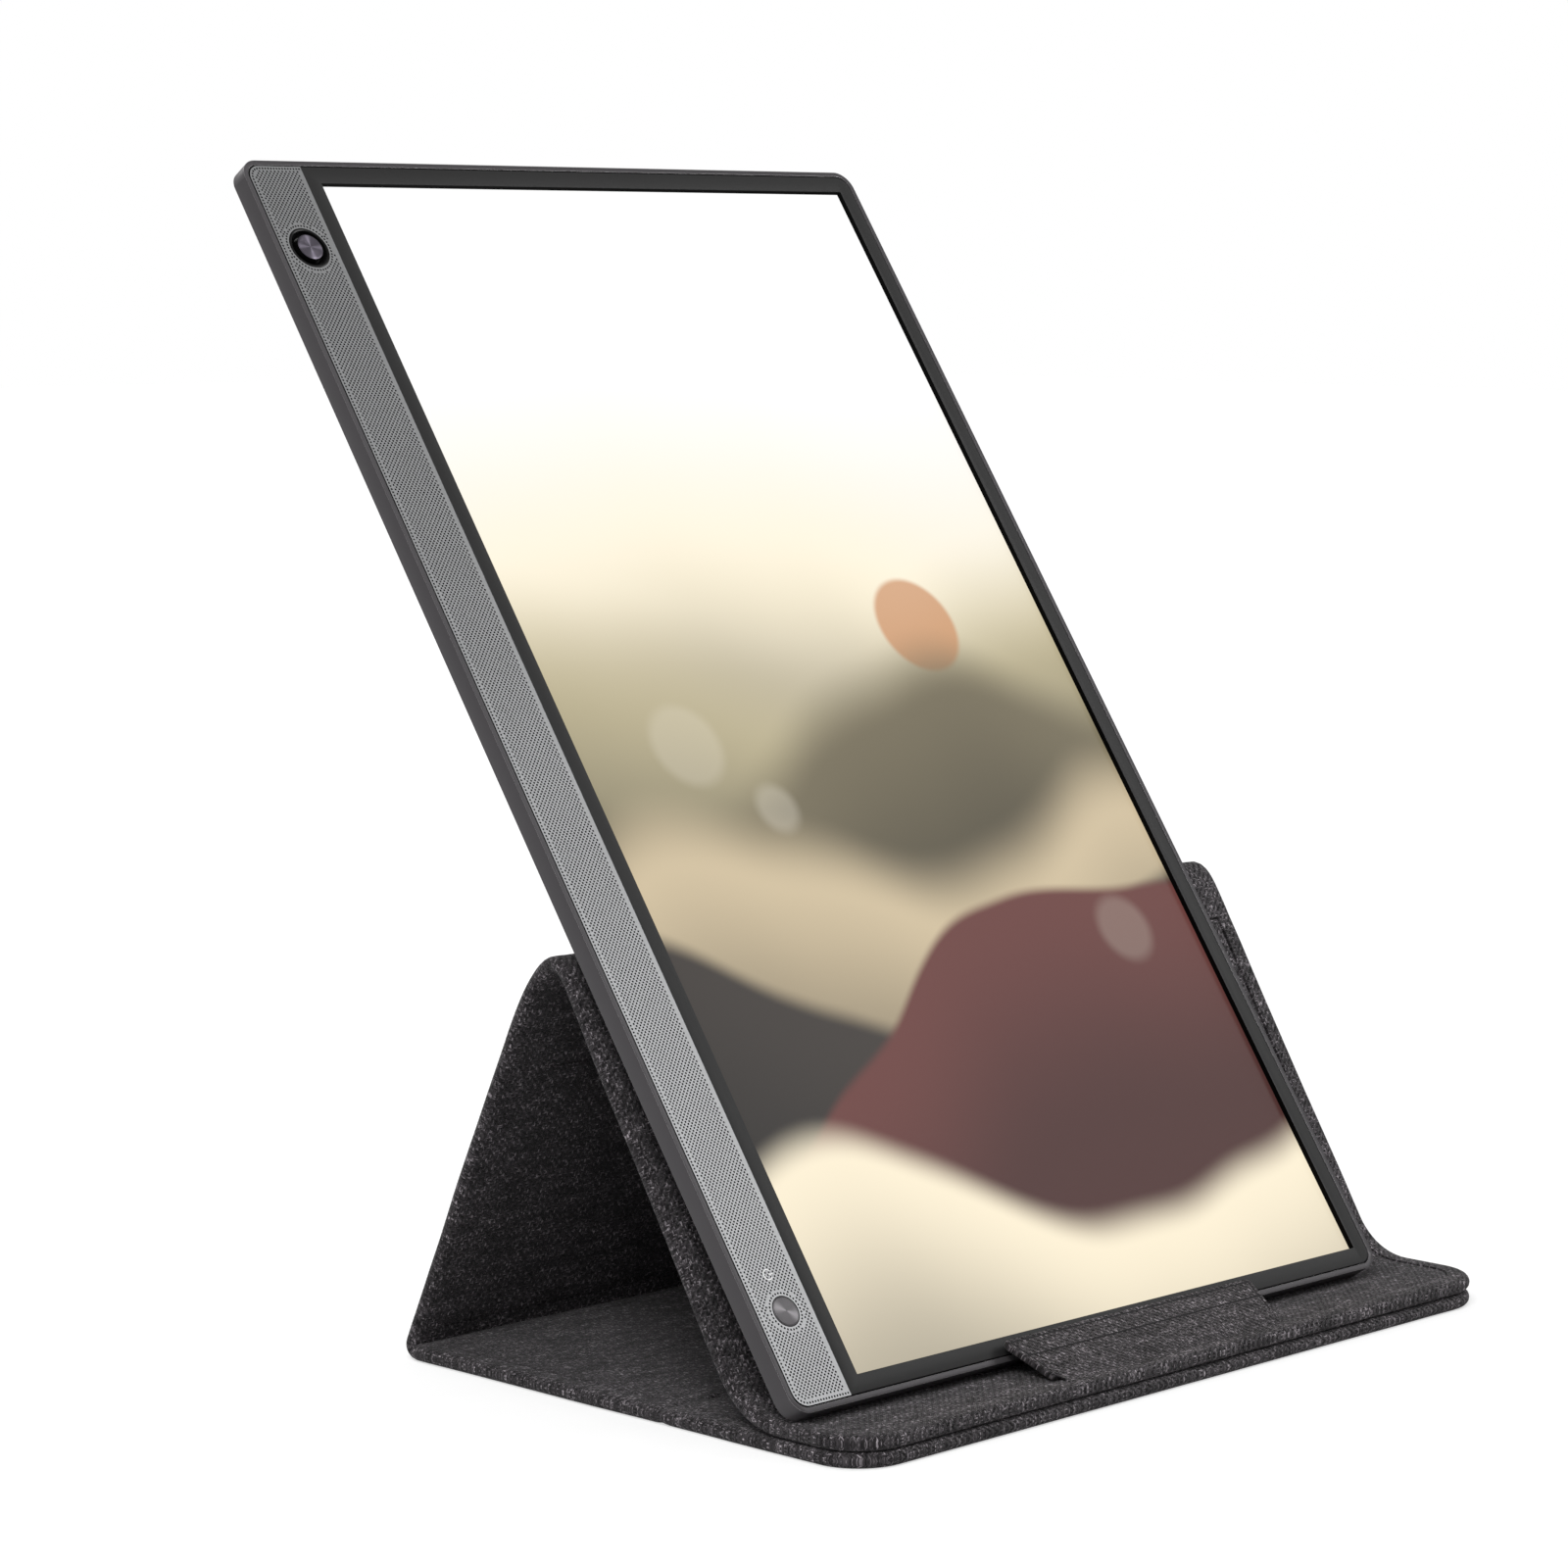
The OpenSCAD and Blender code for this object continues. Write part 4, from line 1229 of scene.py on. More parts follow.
@dataclass
class Buttons:
    """The menu button in its ring, the power button, and the sign above it."""

    body: MonitorBody
    segments: int = 64
    ring_wall: float = 0.75 * MM
    ring_depth: float = 1.6 * MM
    menu_cap_r: float = 3.75 * MM
    menu_cap_h: float = 1.65 * MM
    power_cap_h: float = 1.9 * MM
    power_dome: float = 0.28 * MM
    catch_t: float = 0.3 * MM
    catch_play: float = 0.1 * MM
    menu_catch_drop: float = 0.9 * MM
    side_from: float = -0.2 * MM
    edge_soft: float = 0.16 * MM
    face_rings: tuple[float, ...] = (0.86, 0.7, 0.5, 0.3, 0.12, 0.02)
    stem_r: float = 1.4 * MM
    bowl_play: float = 0.45 * MM
    bore_play: float = 1.0 * MM
    glyph_up: float = 9.9 * MM
    glyph_r: float = 1.32 * MM
    glyph_line: float = 0.36 * MM
    glyph_t: float = 0.03 * MM
    glyph_left: float = 0.6 * MM
    glyph_gap: float = 0.62

    def placed(self, obj: bpy.types.Object, middle: Vector) -> bpy.types.Object:
        """Moves a turned piece from its own axis to its place on the monitor."""
        place_mesh(obj, self.body.frame.to_world @ Matrix.Translation(middle))
        smooth(obj, 40)
        return obj

    def polar_map(self, obj: bpy.types.Object) -> None:
        """Gives a cap a UV map whose U runs round the axis and whose V runs outwards."""
        layer = new_uv(obj, "turned")
        for face in obj.data.polygons:
            centre = math.atan2(face.center.y, face.center.x)
            for corner in face.loop_indices:
                place = obj.data.vertices[obj.data.loops[corner].vertex_index].co
                angle = math.atan2(place.y, place.x)
                angle += 2 * math.pi * round((centre - angle) / (2 * math.pi))
                layer.data[corner].uv = (angle / (2 * math.pi), place.xy.length / (10 * MM))

    def ring(self) -> None:
        """The polished ring whose inner side slopes down to the cap."""
        low, high = self.body.frame.box("menu_ring")
        outer = (high.x - low.x) / 2 - RING_FLANGE
        back, foot = low.z - high.z, -self.ring_depth - 0.1 * MM
        flange, inner = outer + RING_FLANGE, outer - self.ring_wall
        bowl, hole = self.menu_cap_r + self.bowl_play, self.stem_r + self.bore_play
        profile = [
            (hole, back + 0.25 * MM), (hole, back), (flange, back), (flange, foot), (outer, foot),
            (outer, -0.18 * MM), (outer - 0.06 * MM, -0.05 * MM), (outer - 0.2 * MM, 0),
            (inner + 0.2 * MM, -0.02 * MM), (inner, -0.12 * MM), (inner - 0.15 * MM, -0.8 * MM),
            (bowl + 0.3 * MM, -1.35 * MM), (bowl, foot + 0.05 * MM), (bowl - 0.2 * MM, foot),
            (hole, foot), (hole, back + 0.3 * MM),
        ]
        obj = turned("menu_bowl", profile, self.segments)
        self.open_bore(obj)
        self.placed(obj, self.body.frame.middle("menu_ring"))
        self.body.dress(obj, "ring_black", ["menu_ring"], self.body.finishes.gloss)

    @staticmethod
    def open_bore(obj: bpy.types.Object) -> None:
        """Takes the two end discs away and joins their rims into a bore."""
        with editing(obj):
            pick_faces(obj, lambda f: len(f.verts) > 8)
            bpy.ops.mesh.delete(type="ONLY_FACE")
            bpy.ops.mesh.select_mode(type=PickMode.EDGES.value)
            bpy.ops.mesh.select_all(action="DESELECT")
            bpy.ops.mesh.select_non_manifold(
                extend=False, use_wire=False, use_boundary=True, use_multi_face=False,
                use_non_contiguous=False, use_verts=False,
            )
            bpy.ops.mesh.bridge_edge_loops()
            close_and_face_out()

    def cap_profile(
        self, cap_r: float, cap_h: float, dome: float, catch_r: float, catch_z: float, end_z: float
    ) -> list[tuple[float, float]]:
        """Rings of a cap on its stem, from the stem's end up, with the cap's top at height 0.

        Args:
            cap_r: The cap's radius.
            cap_h: The cap's height.
            dome: How far the cap's face bulges or, below 0, dishes.
            catch_r: The radius of the catch on the stem.
            catch_z: The height of the catch's upper side.
            end_z: The height of the stem's end.

        Returns:
            Radius and height of each ring.
        """
        soft, rim_z, lowered = self.edge_soft, -max(dome, 0.0), catch_z - self.catch_t
        rings = [(self.stem_r * 0.8, end_z), (self.stem_r, end_z + 0.1 * MM), (self.stem_r, lowered)]
        rings += [(catch_r, lowered), (catch_r, catch_z)]
        if catch_z < -cap_h - 0.01 * MM:
            rings += [(self.stem_r, catch_z), (self.stem_r, -cap_h), (cap_r - soft, -cap_h)]
            rings += [(cap_r, -cap_h + soft)]
        else:
            rings += [(cap_r, catch_z)]
        rings += [(cap_r, rim_z - soft), (cap_r - 0.3 * soft, rim_z - 0.3 * soft)]
        rings += [(cap_r - soft, rim_z)]
        return rings + [(cap_r * s, rim_z + dome * (1 - s * s)) for s in self.face_rings]

    def menu(self) -> None:
        """The menu button's knob: a spun metal face on a polished black side."""
        low, high = self.body.frame.box("menu_button")
        catch_z = -self.ring_depth - self.menu_catch_drop - self.catch_play - high.z
        rings = self.cap_profile(
            self.menu_cap_r, self.menu_cap_h, 0.0, (high.x - low.x) / 2, catch_z, low.z - high.z
        )
        obj = turned("menu_cap", rings, self.segments)
        self.polar_map(obj)
        for face in obj.data.polygons:
            face.material_index = int(face.center.z <= self.side_from)
        self.placed(obj, self.body.frame.middle("menu_button"))
        metal, side = self.body.finishes.menu_metal, self.body.finishes.gloss
        self.body.dress(obj, "button_metal", ["menu_button"], metal, side, body="menu_key")

    def power(self) -> None:
        """The domed cap of the power button."""
        low, high = self.body.frame.box("power_button")
        catch_r = (high.x - low.x) / 2
        catch_z = -self.ring_depth - self.catch_play - high.z
        rings = self.cap_profile(
            catch_r - CAP_CATCH, self.power_cap_h, self.power_dome, catch_r, catch_z, low.z - high.z
        )
        obj = turned("power_cap", rings, self.segments)
        self.polar_map(obj)
        self.placed(obj, self.body.frame.middle("power_button"))
        metal = self.body.finishes.power_metal
        self.body.dress(obj, "button_metal", ["power_button"], metal, body="power_key")

    def glyph(self) -> None:
        """The usual sign for power: an open ring with a bar in its gap, printed above the button."""
        fr = self.body.frame
        _, strip_high = fr.box("speaker_strip")
        button = fr.middle("power_button")
        centre = Vector((button.x - self.glyph_left, button.y + self.glyph_up, strip_high.z))
        half, t, r = self.glyph_line / 2, self.glyph_t, self.glyph_r
        obj = turned("power_sign", [(r - half, 0), (r - half, t), (r + half, t), (r + half, 0)], 40)

        def in_gap(face: bmesh.types.BMFace) -> bool:
            middle = face.calc_center_median()
            return len(face.verts) > 8 or abs(math.atan2(middle.y, middle.x)) < self.glyph_gap

        with editing(obj):
            pick_faces(obj, in_gap)
            bpy.ops.mesh.delete(type="FACE")
            pick_all()
            bpy.ops.mesh.fill_holes(sides=0)
        bar = add_plane("power_bar", (r * 1.05, self.glyph_line), (r * 0.75, 0, 0))
        with editing(bar):
            pick_all()
            extrude((0, 0, t))
        make_active(obj)
        bar.select_set(True)
        bpy.ops.object.join()
        with editing(obj):
            close_and_face_out()
        place_mesh(obj, fr.to_world @ Matrix.Translation(centre))
        self.body.dress(obj, "strip_metal", [], self.body.finishes.glyph)

    def build(self) -> None:
        """Builds the ring, both caps and the sign."""
        self.ring()
        self.menu()
        self.power()
        self.glyph()


# The cover


def board_line(node: str) -> tuple[np.ndarray, np.ndarray, float]:
    """The middle line of a straight cover board in the YZ plane.

    Args:
        node: The board's CAD node.

    Returns:
        Its middle, its direction upwards, and half its length.
    """
    spots = np.unique(np.round(points_of(frame["nodes"][node])[:, 1:], 7), axis=0)
    middle = spots.mean(0)
    _, _, axes = np.linalg.svd(spots - middle)
    direction = axes[0] if axes[0][1] > 0 else -axes[0]
    return middle, direction, float(np.abs((spots - middle) @ direction).max())


@dataclass(frozen=True)
class CoverSizes:
    """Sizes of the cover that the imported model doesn't give by itself."""

    panel_t: float = 4.0 * MM
    rim: float = 4.0 * MM
    play: float = 0.3 * MM
    inlay_inset: float = 6.0 * MM
    corner_r: float = 15.0 * MM
    bend_r: float = 21.0 * MM
    rear_pull: float = 38.0 * MM
    lean_pull: float = 13.0 * MM
    crease_from_rear: float = 92.0 * MM


class Guide:
    """A line in the YZ plane along which flat cloth is folded."""

    def __init__(self, line: np.ndarray) -> None:
        """Measures the line and finds its normals."""
        self.line = line
        self.lengths = np.r_[0, np.cumsum(np.hypot(*np.diff(line, axis=0).T))]
        self.total = float(self.lengths[-1])
        along = np.gradient(line, self.lengths, axis=0)
        along /= np.linalg.norm(along, axis=1)[:, None]
        self.normals = np.c_[along[:, 1], -along[:, 0]]

    def folded(self, flat: np.ndarray) -> np.ndarray:
        """Folds flat places: across, along the line, and out of its outer side.

        Args:
            flat: One row for each point.

        Returns:
            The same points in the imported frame.
        """
        along = flat[:, 1]
        middle = [np.interp(along, self.lengths, self.line[:, i]) for i in (0, 1)]
        normal = [np.interp(along, self.lengths, self.normals[:, i]) for i in (0, 1)]
        out = flat[:, 2] / np.hypot(*normal)
        return np.c_[flat[:, 0], middle[0] + out * normal[0], middle[1] + out * normal[1]]


ARC_POINTS = 90
CURVE_POINTS = 260
STRAIGHT_STEP = 0.25 * MM


def bezier(*p: np.ndarray) -> np.ndarray:
    """Points of a Bezier curve with four poles."""
    t = np.linspace(0, 1, CURVE_POINTS)[:, None]
    return (
        (1 - t) ** 3 * p[0] + 3 * t * (1 - t) ** 2 * p[1]
        + 3 * t * t * (1 - t) * p[2] + t**3 * p[3]
    )


class FoldLine(Guide):
    """The middle line of the folded cover in the YZ plane.

    It runs back along the base, up the rear panel, over the top, down the leaning panel and
    forwards along the ledge. Its outer side is below the base, behind the rear panel, in
    front of the leaning panel and above the ledge.
    """

    def __init__(self, sizes: CoverSizes) -> None:
        """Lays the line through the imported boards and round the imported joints.

        Args:
            sizes: The cover's sizes.
        """
        rear_axis = np.array(cad_joint("rear_fold")["pos_m"][1:])
        base_low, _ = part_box("base_skin")
        ledge_low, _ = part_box("ledge_skin")
        base_z, ledge_z = sizes.panel_t / 2, mid_height("ledge_board")
        rear_middle, rear_up, rear_half = board_line("rear_board")
        lean_middle, lean_up, lean_half = board_line("lean_board")
        reach = sizes.rim + 2 * sizes.play
        rear_foot = rear_middle + ((rear_axis - rear_middle) @ rear_up) * rear_up
        rear_top = rear_middle + (rear_half + reach) * rear_up
        lean_top = lean_middle + (lean_half + reach) * lean_up
        rear_angle = math.atan2(*(rear_foot - rear_axis)[::-1])
        radii = (rear_axis[1] - base_z, float(np.linalg.norm(rear_foot - rear_axis)))
        bend_r = sizes.bend_r
        centre = self.bend_centre(lean_middle, lean_up, ledge_z, bend_r)
        start = math.atan2(-lean_up[0], lean_up[1])
        touch = centre + bend_r * np.array((math.cos(start), math.sin(start)))
        pieces = [
            self.straight((base_low.y, base_z), (rear_axis[0], base_z)),
            self.arc(rear_axis, radii, -math.pi / 2, rear_angle),
            self.straight(rear_foot, rear_top),
            bezier(
                rear_top, rear_top + sizes.rear_pull * rear_up,
                lean_top + sizes.lean_pull * lean_up, lean_top,
            ),
            self.straight(lean_top, touch),
            self.arc(centre, (bend_r, bend_r), start, -math.pi / 2),
            self.straight((centre[0], ledge_z), (ledge_low.y, ledge_z)),
        ]
        line = [pieces[0], *(piece[1:] for piece in pieces[1:])]
        super().__init__(np.vstack(line))
        ends = np.cumsum([len(p) for p in line]) - 1
        marks = [float(self.lengths[i]) for i in ends]
        self.base_end, self.rear_start, self.rear_end, self.lean_start = marks[:4]
        self.lean_end, self.ledge_start = marks[4:6]

    @staticmethod
    def bend_centre(
        middle: np.ndarray, up: np.ndarray, ledge_z: float, radius: float
    ) -> np.ndarray:
        """The centre of the soft bend that touches both the leaning panel and the ledge."""
        on_line = middle + radius * np.array((-up[1], up[0]))
        return on_line + (ledge_z + radius - on_line[1]) / up[1] * up

    @staticmethod
    def straight(start: Sequence[float], end: Sequence[float]) -> np.ndarray:
        """Points of a straight stretch, a small step apart."""
        a, b = np.array(start, float), np.array(end, float)
        count = max(2, int(np.linalg.norm(b - a) / STRAIGHT_STEP))
        return a + (b - a) * np.linspace(0, 1, count)[:, None]

    @staticmethod
    def arc(
        centre: np.ndarray, radii: tuple[float, float], start: float, end: float
    ) -> np.ndarray:
        """Points of an arc whose radius changes evenly from one value to another."""
        turn = np.linspace(start, end, ARC_POINTS)[:, None]
        radius = np.linspace(*radii, ARC_POINTS)[:, None]
        return centre + radius * np.hstack([np.cos(turn), np.sin(turn)])


class Face(Enum):
    """The two faces of the cover, by the sign of their height over the middle line."""

    OUTER = 1
    INNER = -1


@dataclass(frozen=True)
class Recess:
    """A shallow bed for an inlay."""

    face: Face
    start: float
    end: float


@dataclass
class RolledPanel:
    """A stretch of the fabric cover, modelled flat with rolled edges, then folded."""

    name: str
    line: FoldLine
    sizes: CoverSizes
    start: float
    end: float
    recesses: Sequence[Recess]
    rows: Sequence[float]
    free_start: bool = False
    free_end: bool = False
    spare: float = 30 * MM
    bed_depth: float = 0.9 * MM
    bed_slope: float = 0.08 * MM
    crown: float = 0.10 * MM
    column_step: float = 11.0 * MM
    dimple_x: float = -106.0 * MM
    dimple_w: float = 1.9 * MM
    dimple_depth: float = 1.3 * MM
    dimple_cuts: tuple[float, ...] = (-4.5, -2.6, -1.3, 0, 1.3, 2.6, 4.5)
    corner_segments: int = 12
    roll_degrees: tuple[int, ...] = (18, 36, 54, 72, 90)
    end_clear: float = 0.3 * MM
    half_seed: float = 0.1 * MM
    swell_h: float = 0.16
    ripple_h: float = 0.16
    wave_w: float = 0.30 * MM
    wave_reach: float = 9 * MM
    crease_w: float = 1.3 * MM
    crease_share: float = 0.16
    held_share: float = 0.25
    table_gap: float = 0.02 * MM

    def __post_init__(self) -> None:
        """Takes the cover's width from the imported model."""
        low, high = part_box("base_skin")
        self.width = high.x - low.x

    def edge_distance(self, x: np.ndarray, y: np.ndarray) -> np.ndarray:
        """How far flat places lie inside the panel's outline."""
        side = self.width / 2 - np.abs(x)
        ends = np.full_like(side, 1.0)
        if self.free_start:
            ends = np.minimum(ends, y - self.start)
        if self.free_end:
            ends = np.minimum(ends, self.end - y)
        r = self.sizes.corner_r
        corner = r - np.hypot(r - side, r - ends)
        return np.where((side < r) & (ends < r), corner, np.minimum(side, ends))

    def flat(self) -> bpy.types.Object:
        """Models the panel flat: a plate with rounded corners, rolled edges and beds."""
        low = self.start if self.free_start else self.start - self.spare
        high = self.end if self.free_end else self.end + self.spare
        centre = (0, (low + high) / 2, -self.half_seed)
        obj = add_plane(self.name, (self.width, high - low), centre)
        round_ends(
            obj, (low, high), self.sizes.corner_r, self.corner_segments, self.free_start,
            self.free_end,
        )
        with editing(obj):
            thicken(2 * self.half_seed)
            for side in (1, -1):
                pick_faces(obj, lambda f, s=side: f.normal.z * s > 0.9)
                self.roll_edge()
            if not self.free_start:
                cut_off(self.start, -ALONG)
            if not self.free_end:
                cut_off(self.end, ALONG)
            low, high = self.start + self.end_clear, self.end - self.end_clear
            cut([y for y in self.rows if low < y < high], ALONG)
            cut(self.columns(self.width / 2 - self.sizes.inlay_inset), ACROSS)
            for bed in self.recesses:
                self.sink(obj, bed)
            pick_all()
            bpy.ops.mesh.fill_holes(sides=0)
            close_and_face_out()
        return obj

    def roll_edge(self) -> None:
        """Rounds the edge of the face that is selected, then crowns its border, in edit mode."""
        roll, border = self.sizes.panel_t / 2, self.sizes.inlay_inset
        done_in, done_up = 0.0, self.half_seed
        for degrees in self.roll_degrees:
            turn = math.radians(degrees)
            go_in, go_up = roll * (1 - math.cos(turn)), roll * math.sin(turn)
            inset(go_in - done_in, go_up - done_up)
            done_in, done_up = go_in, go_up
        middle = (done_in + border) / 2
        inset(middle - done_in, self.crown)
        inset(border - middle, -self.crown)

    def columns(self, span: float) -> list[float]:
        """Where the cloth is cut lengthwise, closer together at the crease's dimple."""
        even = spaced(-span, span, self.column_step)[1:-1]
        if not self.free_start:
            return even
        return sorted(even + [self.dimple_x + offset * MM for offset in self.dimple_cuts])

    def sink(self, obj: bpy.types.Object, bed: Recess) -> None:
        """Sinks the bed of an inlay into one face, in edit mode."""
        margin = self.sizes.inlay_inset - 0.01 * MM

        def in_bed(face: bmesh.types.BMFace) -> bool:
            place = face.calc_center_median()
            inside = self.edge_distance(np.array([place.x]), np.array([place.y]))[0] > margin
            return inside and bed.start < place.y < bed.end and face.normal.z * bed.face.value > 0.9

        pick_faces(obj, in_bed)
        inset(self.bed_slope, -self.bed_depth, boundary=False)

    def weave_map(self, place: np.ndarray) -> np.ndarray:
        """Flat cloth coordinates, which also run round the rolled edges."""
        roll = self.sizes.panel_t / 2
        side = self.width / 2 - np.abs(place[:, 0])
        drop = 0.6 * (roll - np.minimum(np.abs(place[:, 2]), roll))
        across = place[:, 0] + np.sign(place[:, 0]) * np.where(side < roll, drop, 0)
        along = place[:, 1].copy()
        if self.free_start:
            along -= np.where(place[:, 1] - self.start < roll, drop, 0)
        if self.free_end:
            along += np.where(self.end - place[:, 1] < roll, drop, 0)
        return np.c_[across, along]

    def softened(self, place: np.ndarray) -> np.ndarray:
        """Gives the cloth its small unevenness: wavy edges, a slight swell, and the crease."""
        soft = place.copy()
        inside = self.edge_distance(place[:, 0], place[:, 1])
        near_edge = np.clip(1 - inside / self.wave_reach, 0, 1)
        tight = self.tightness(place)
        for i, (x, y, h) in enumerate(place):
            swell = noise.noise(Vector((x * 28, y * 28, 3.1 * np.sign(h))))
            ripple = noise.noise(Vector((x * 90, y * 75, 7.7)))
            rise = self.swell_h * swell + self.ripple_h * near_edge[i] * ripple
            soft[i, 2] += tight[i] * rise * MM
            wave = noise.noise(Vector((0.5 + np.sign(x), y * 42, 1.3)))
            wave += 0.5 * noise.noise(Vector((0.2 + np.sign(x), y * 120, 5.3)))
            soft[i, 0] += self.wave_w * wave * near_edge[i] * np.sign(x)
        crease = self.line.base_end - self.sizes.crease_from_rear
        dip = np.exp(-(((place[:, 1] - crease) / self.crease_w) ** 2))
        soft[:, 2] *= 1 - self.crease_share * dip
        pinch = np.exp(-(((place[:, 0] - self.dimple_x) / self.dimple_w) ** 2))
        inner = place[:, 2] < -1.5 * MM
        soft[:, 2] += np.where(inner, self.dimple_depth * dip * pinch, 0)
        return soft

    def tightness(self, place: np.ndarray) -> np.ndarray:
        """How freely the cloth may swell: hardly where another piece lies against it."""
        under_ledge = (place[:, 1] < 60 * MM) & (place[:, 2] < 0)
        carries = (place[:, 1] > self.line.lean_start) & (place[:, 2] > 0)
        ledge_foot = (place[:, 1] > self.line.lean_end) & (place[:, 2] < 0)
        table = (place[:, 1] < self.line.base_end) & (place[:, 2] > 0)
        return np.where(under_ledge | carries | ledge_foot | table, self.held_share, 1.0)

    def build(self) -> bpy.types.Object:
        """Models, maps, softens and folds the panel.

        Returns:
            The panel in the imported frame.
        """
        obj = self.flat()
        place = points_of(obj)
        self.fold_up(obj, self.softened(place), self.weave_map(place))
        return obj

    def fold_up(self, obj: bpy.types.Object, flat: np.ndarray, uv: np.ndarray) -> None:
        """Folds a flat piece with the panel, keeps it over the table, and finishes its mesh.

        Args:
            obj: The piece.
            flat: The flat places of its vertices.
            uv: Their places on the weave.
        """
        folded = self.line.folded(flat)
        folded[:, 2] = np.maximum(folded[:, 2], self.table_gap)
        set_points(obj, folded)
        face_out(obj)
        write_uv(obj, WEAVE_MAP, uv)
        smooth(obj, 50)


@dataclass
class Inlay:
    """A cloth-covered inlay that lies in its bed with a soft edge."""

    name: str
    panel: RolledPanel
    face: Face
    start: float
    end: float
    rows: Sequence[float]
    round_start: bool = False
    round_end: bool = False
    play: float = 0.45 * MM
    foot: float = 1.15 * MM
    top: float = 1.82 * MM
    edge_round: float = 1.0
    map_shift: float = 0.0137
    edge_steps: tuple = ((0.12 * MM, 0.35), (0.30 * MM, 0.22), (0.60 * MM, 0.08))
    border: float = 2.40 * MM
    end_clear: float = 1.5 * MM

    def build(self) -> bpy.types.Object:
        """Models the inlay flat, maps it and folds it with its panel.

        Returns:
            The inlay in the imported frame.
        """
        inset_by = self.panel.sizes.inlay_inset
        width = self.panel.width - 2 * (inset_by + self.play)
        low, high = self.start + self.play, self.end - self.play
        sign = self.face.value
        obj = add_plane(self.name, (width, high - low), (0, (low + high) / 2, sign * self.foot))
        corner_r = self.panel.sizes.corner_r - inset_by - self.play
        round_ends(obj, (low, high), corner_r, 10, self.round_start, self.round_end)
        rise = self.top - self.foot
        with editing(obj):
            thicken(sign * rise * 0.35)
            pick_faces(obj, lambda f: f.normal.z * sign > 0.9)
            for step_in, step_up in self.edge_steps:
                inset(step_in * self.edge_round, rise * step_up)
            inset(self.border)
            clear = self.end_clear
            cut([y for y in self.rows if low + clear < y < high - clear], ALONG)
            cut(self.panel.columns(width / 2), ACROSS)
            close_and_face_out()
        place = points_of(obj)
        soft = self.panel.softened(place)
        over_foot = np.abs(place[:, 2]) > self.foot + 0.01 * MM
        soft[:, 2] = np.where(over_foot, soft[:, 2], place[:, 2])
        self.panel.fold_up(obj, soft, place[:, :2] + self.map_shift)
        return obj


def spaced(start: float, end: float, step: float) -> list[float]:
    """Even places from a start to an end, about a step apart."""
    count = max(1, round((end - start) / step))
    return [start + (end - start) * i / count for i in range(count + 1)]


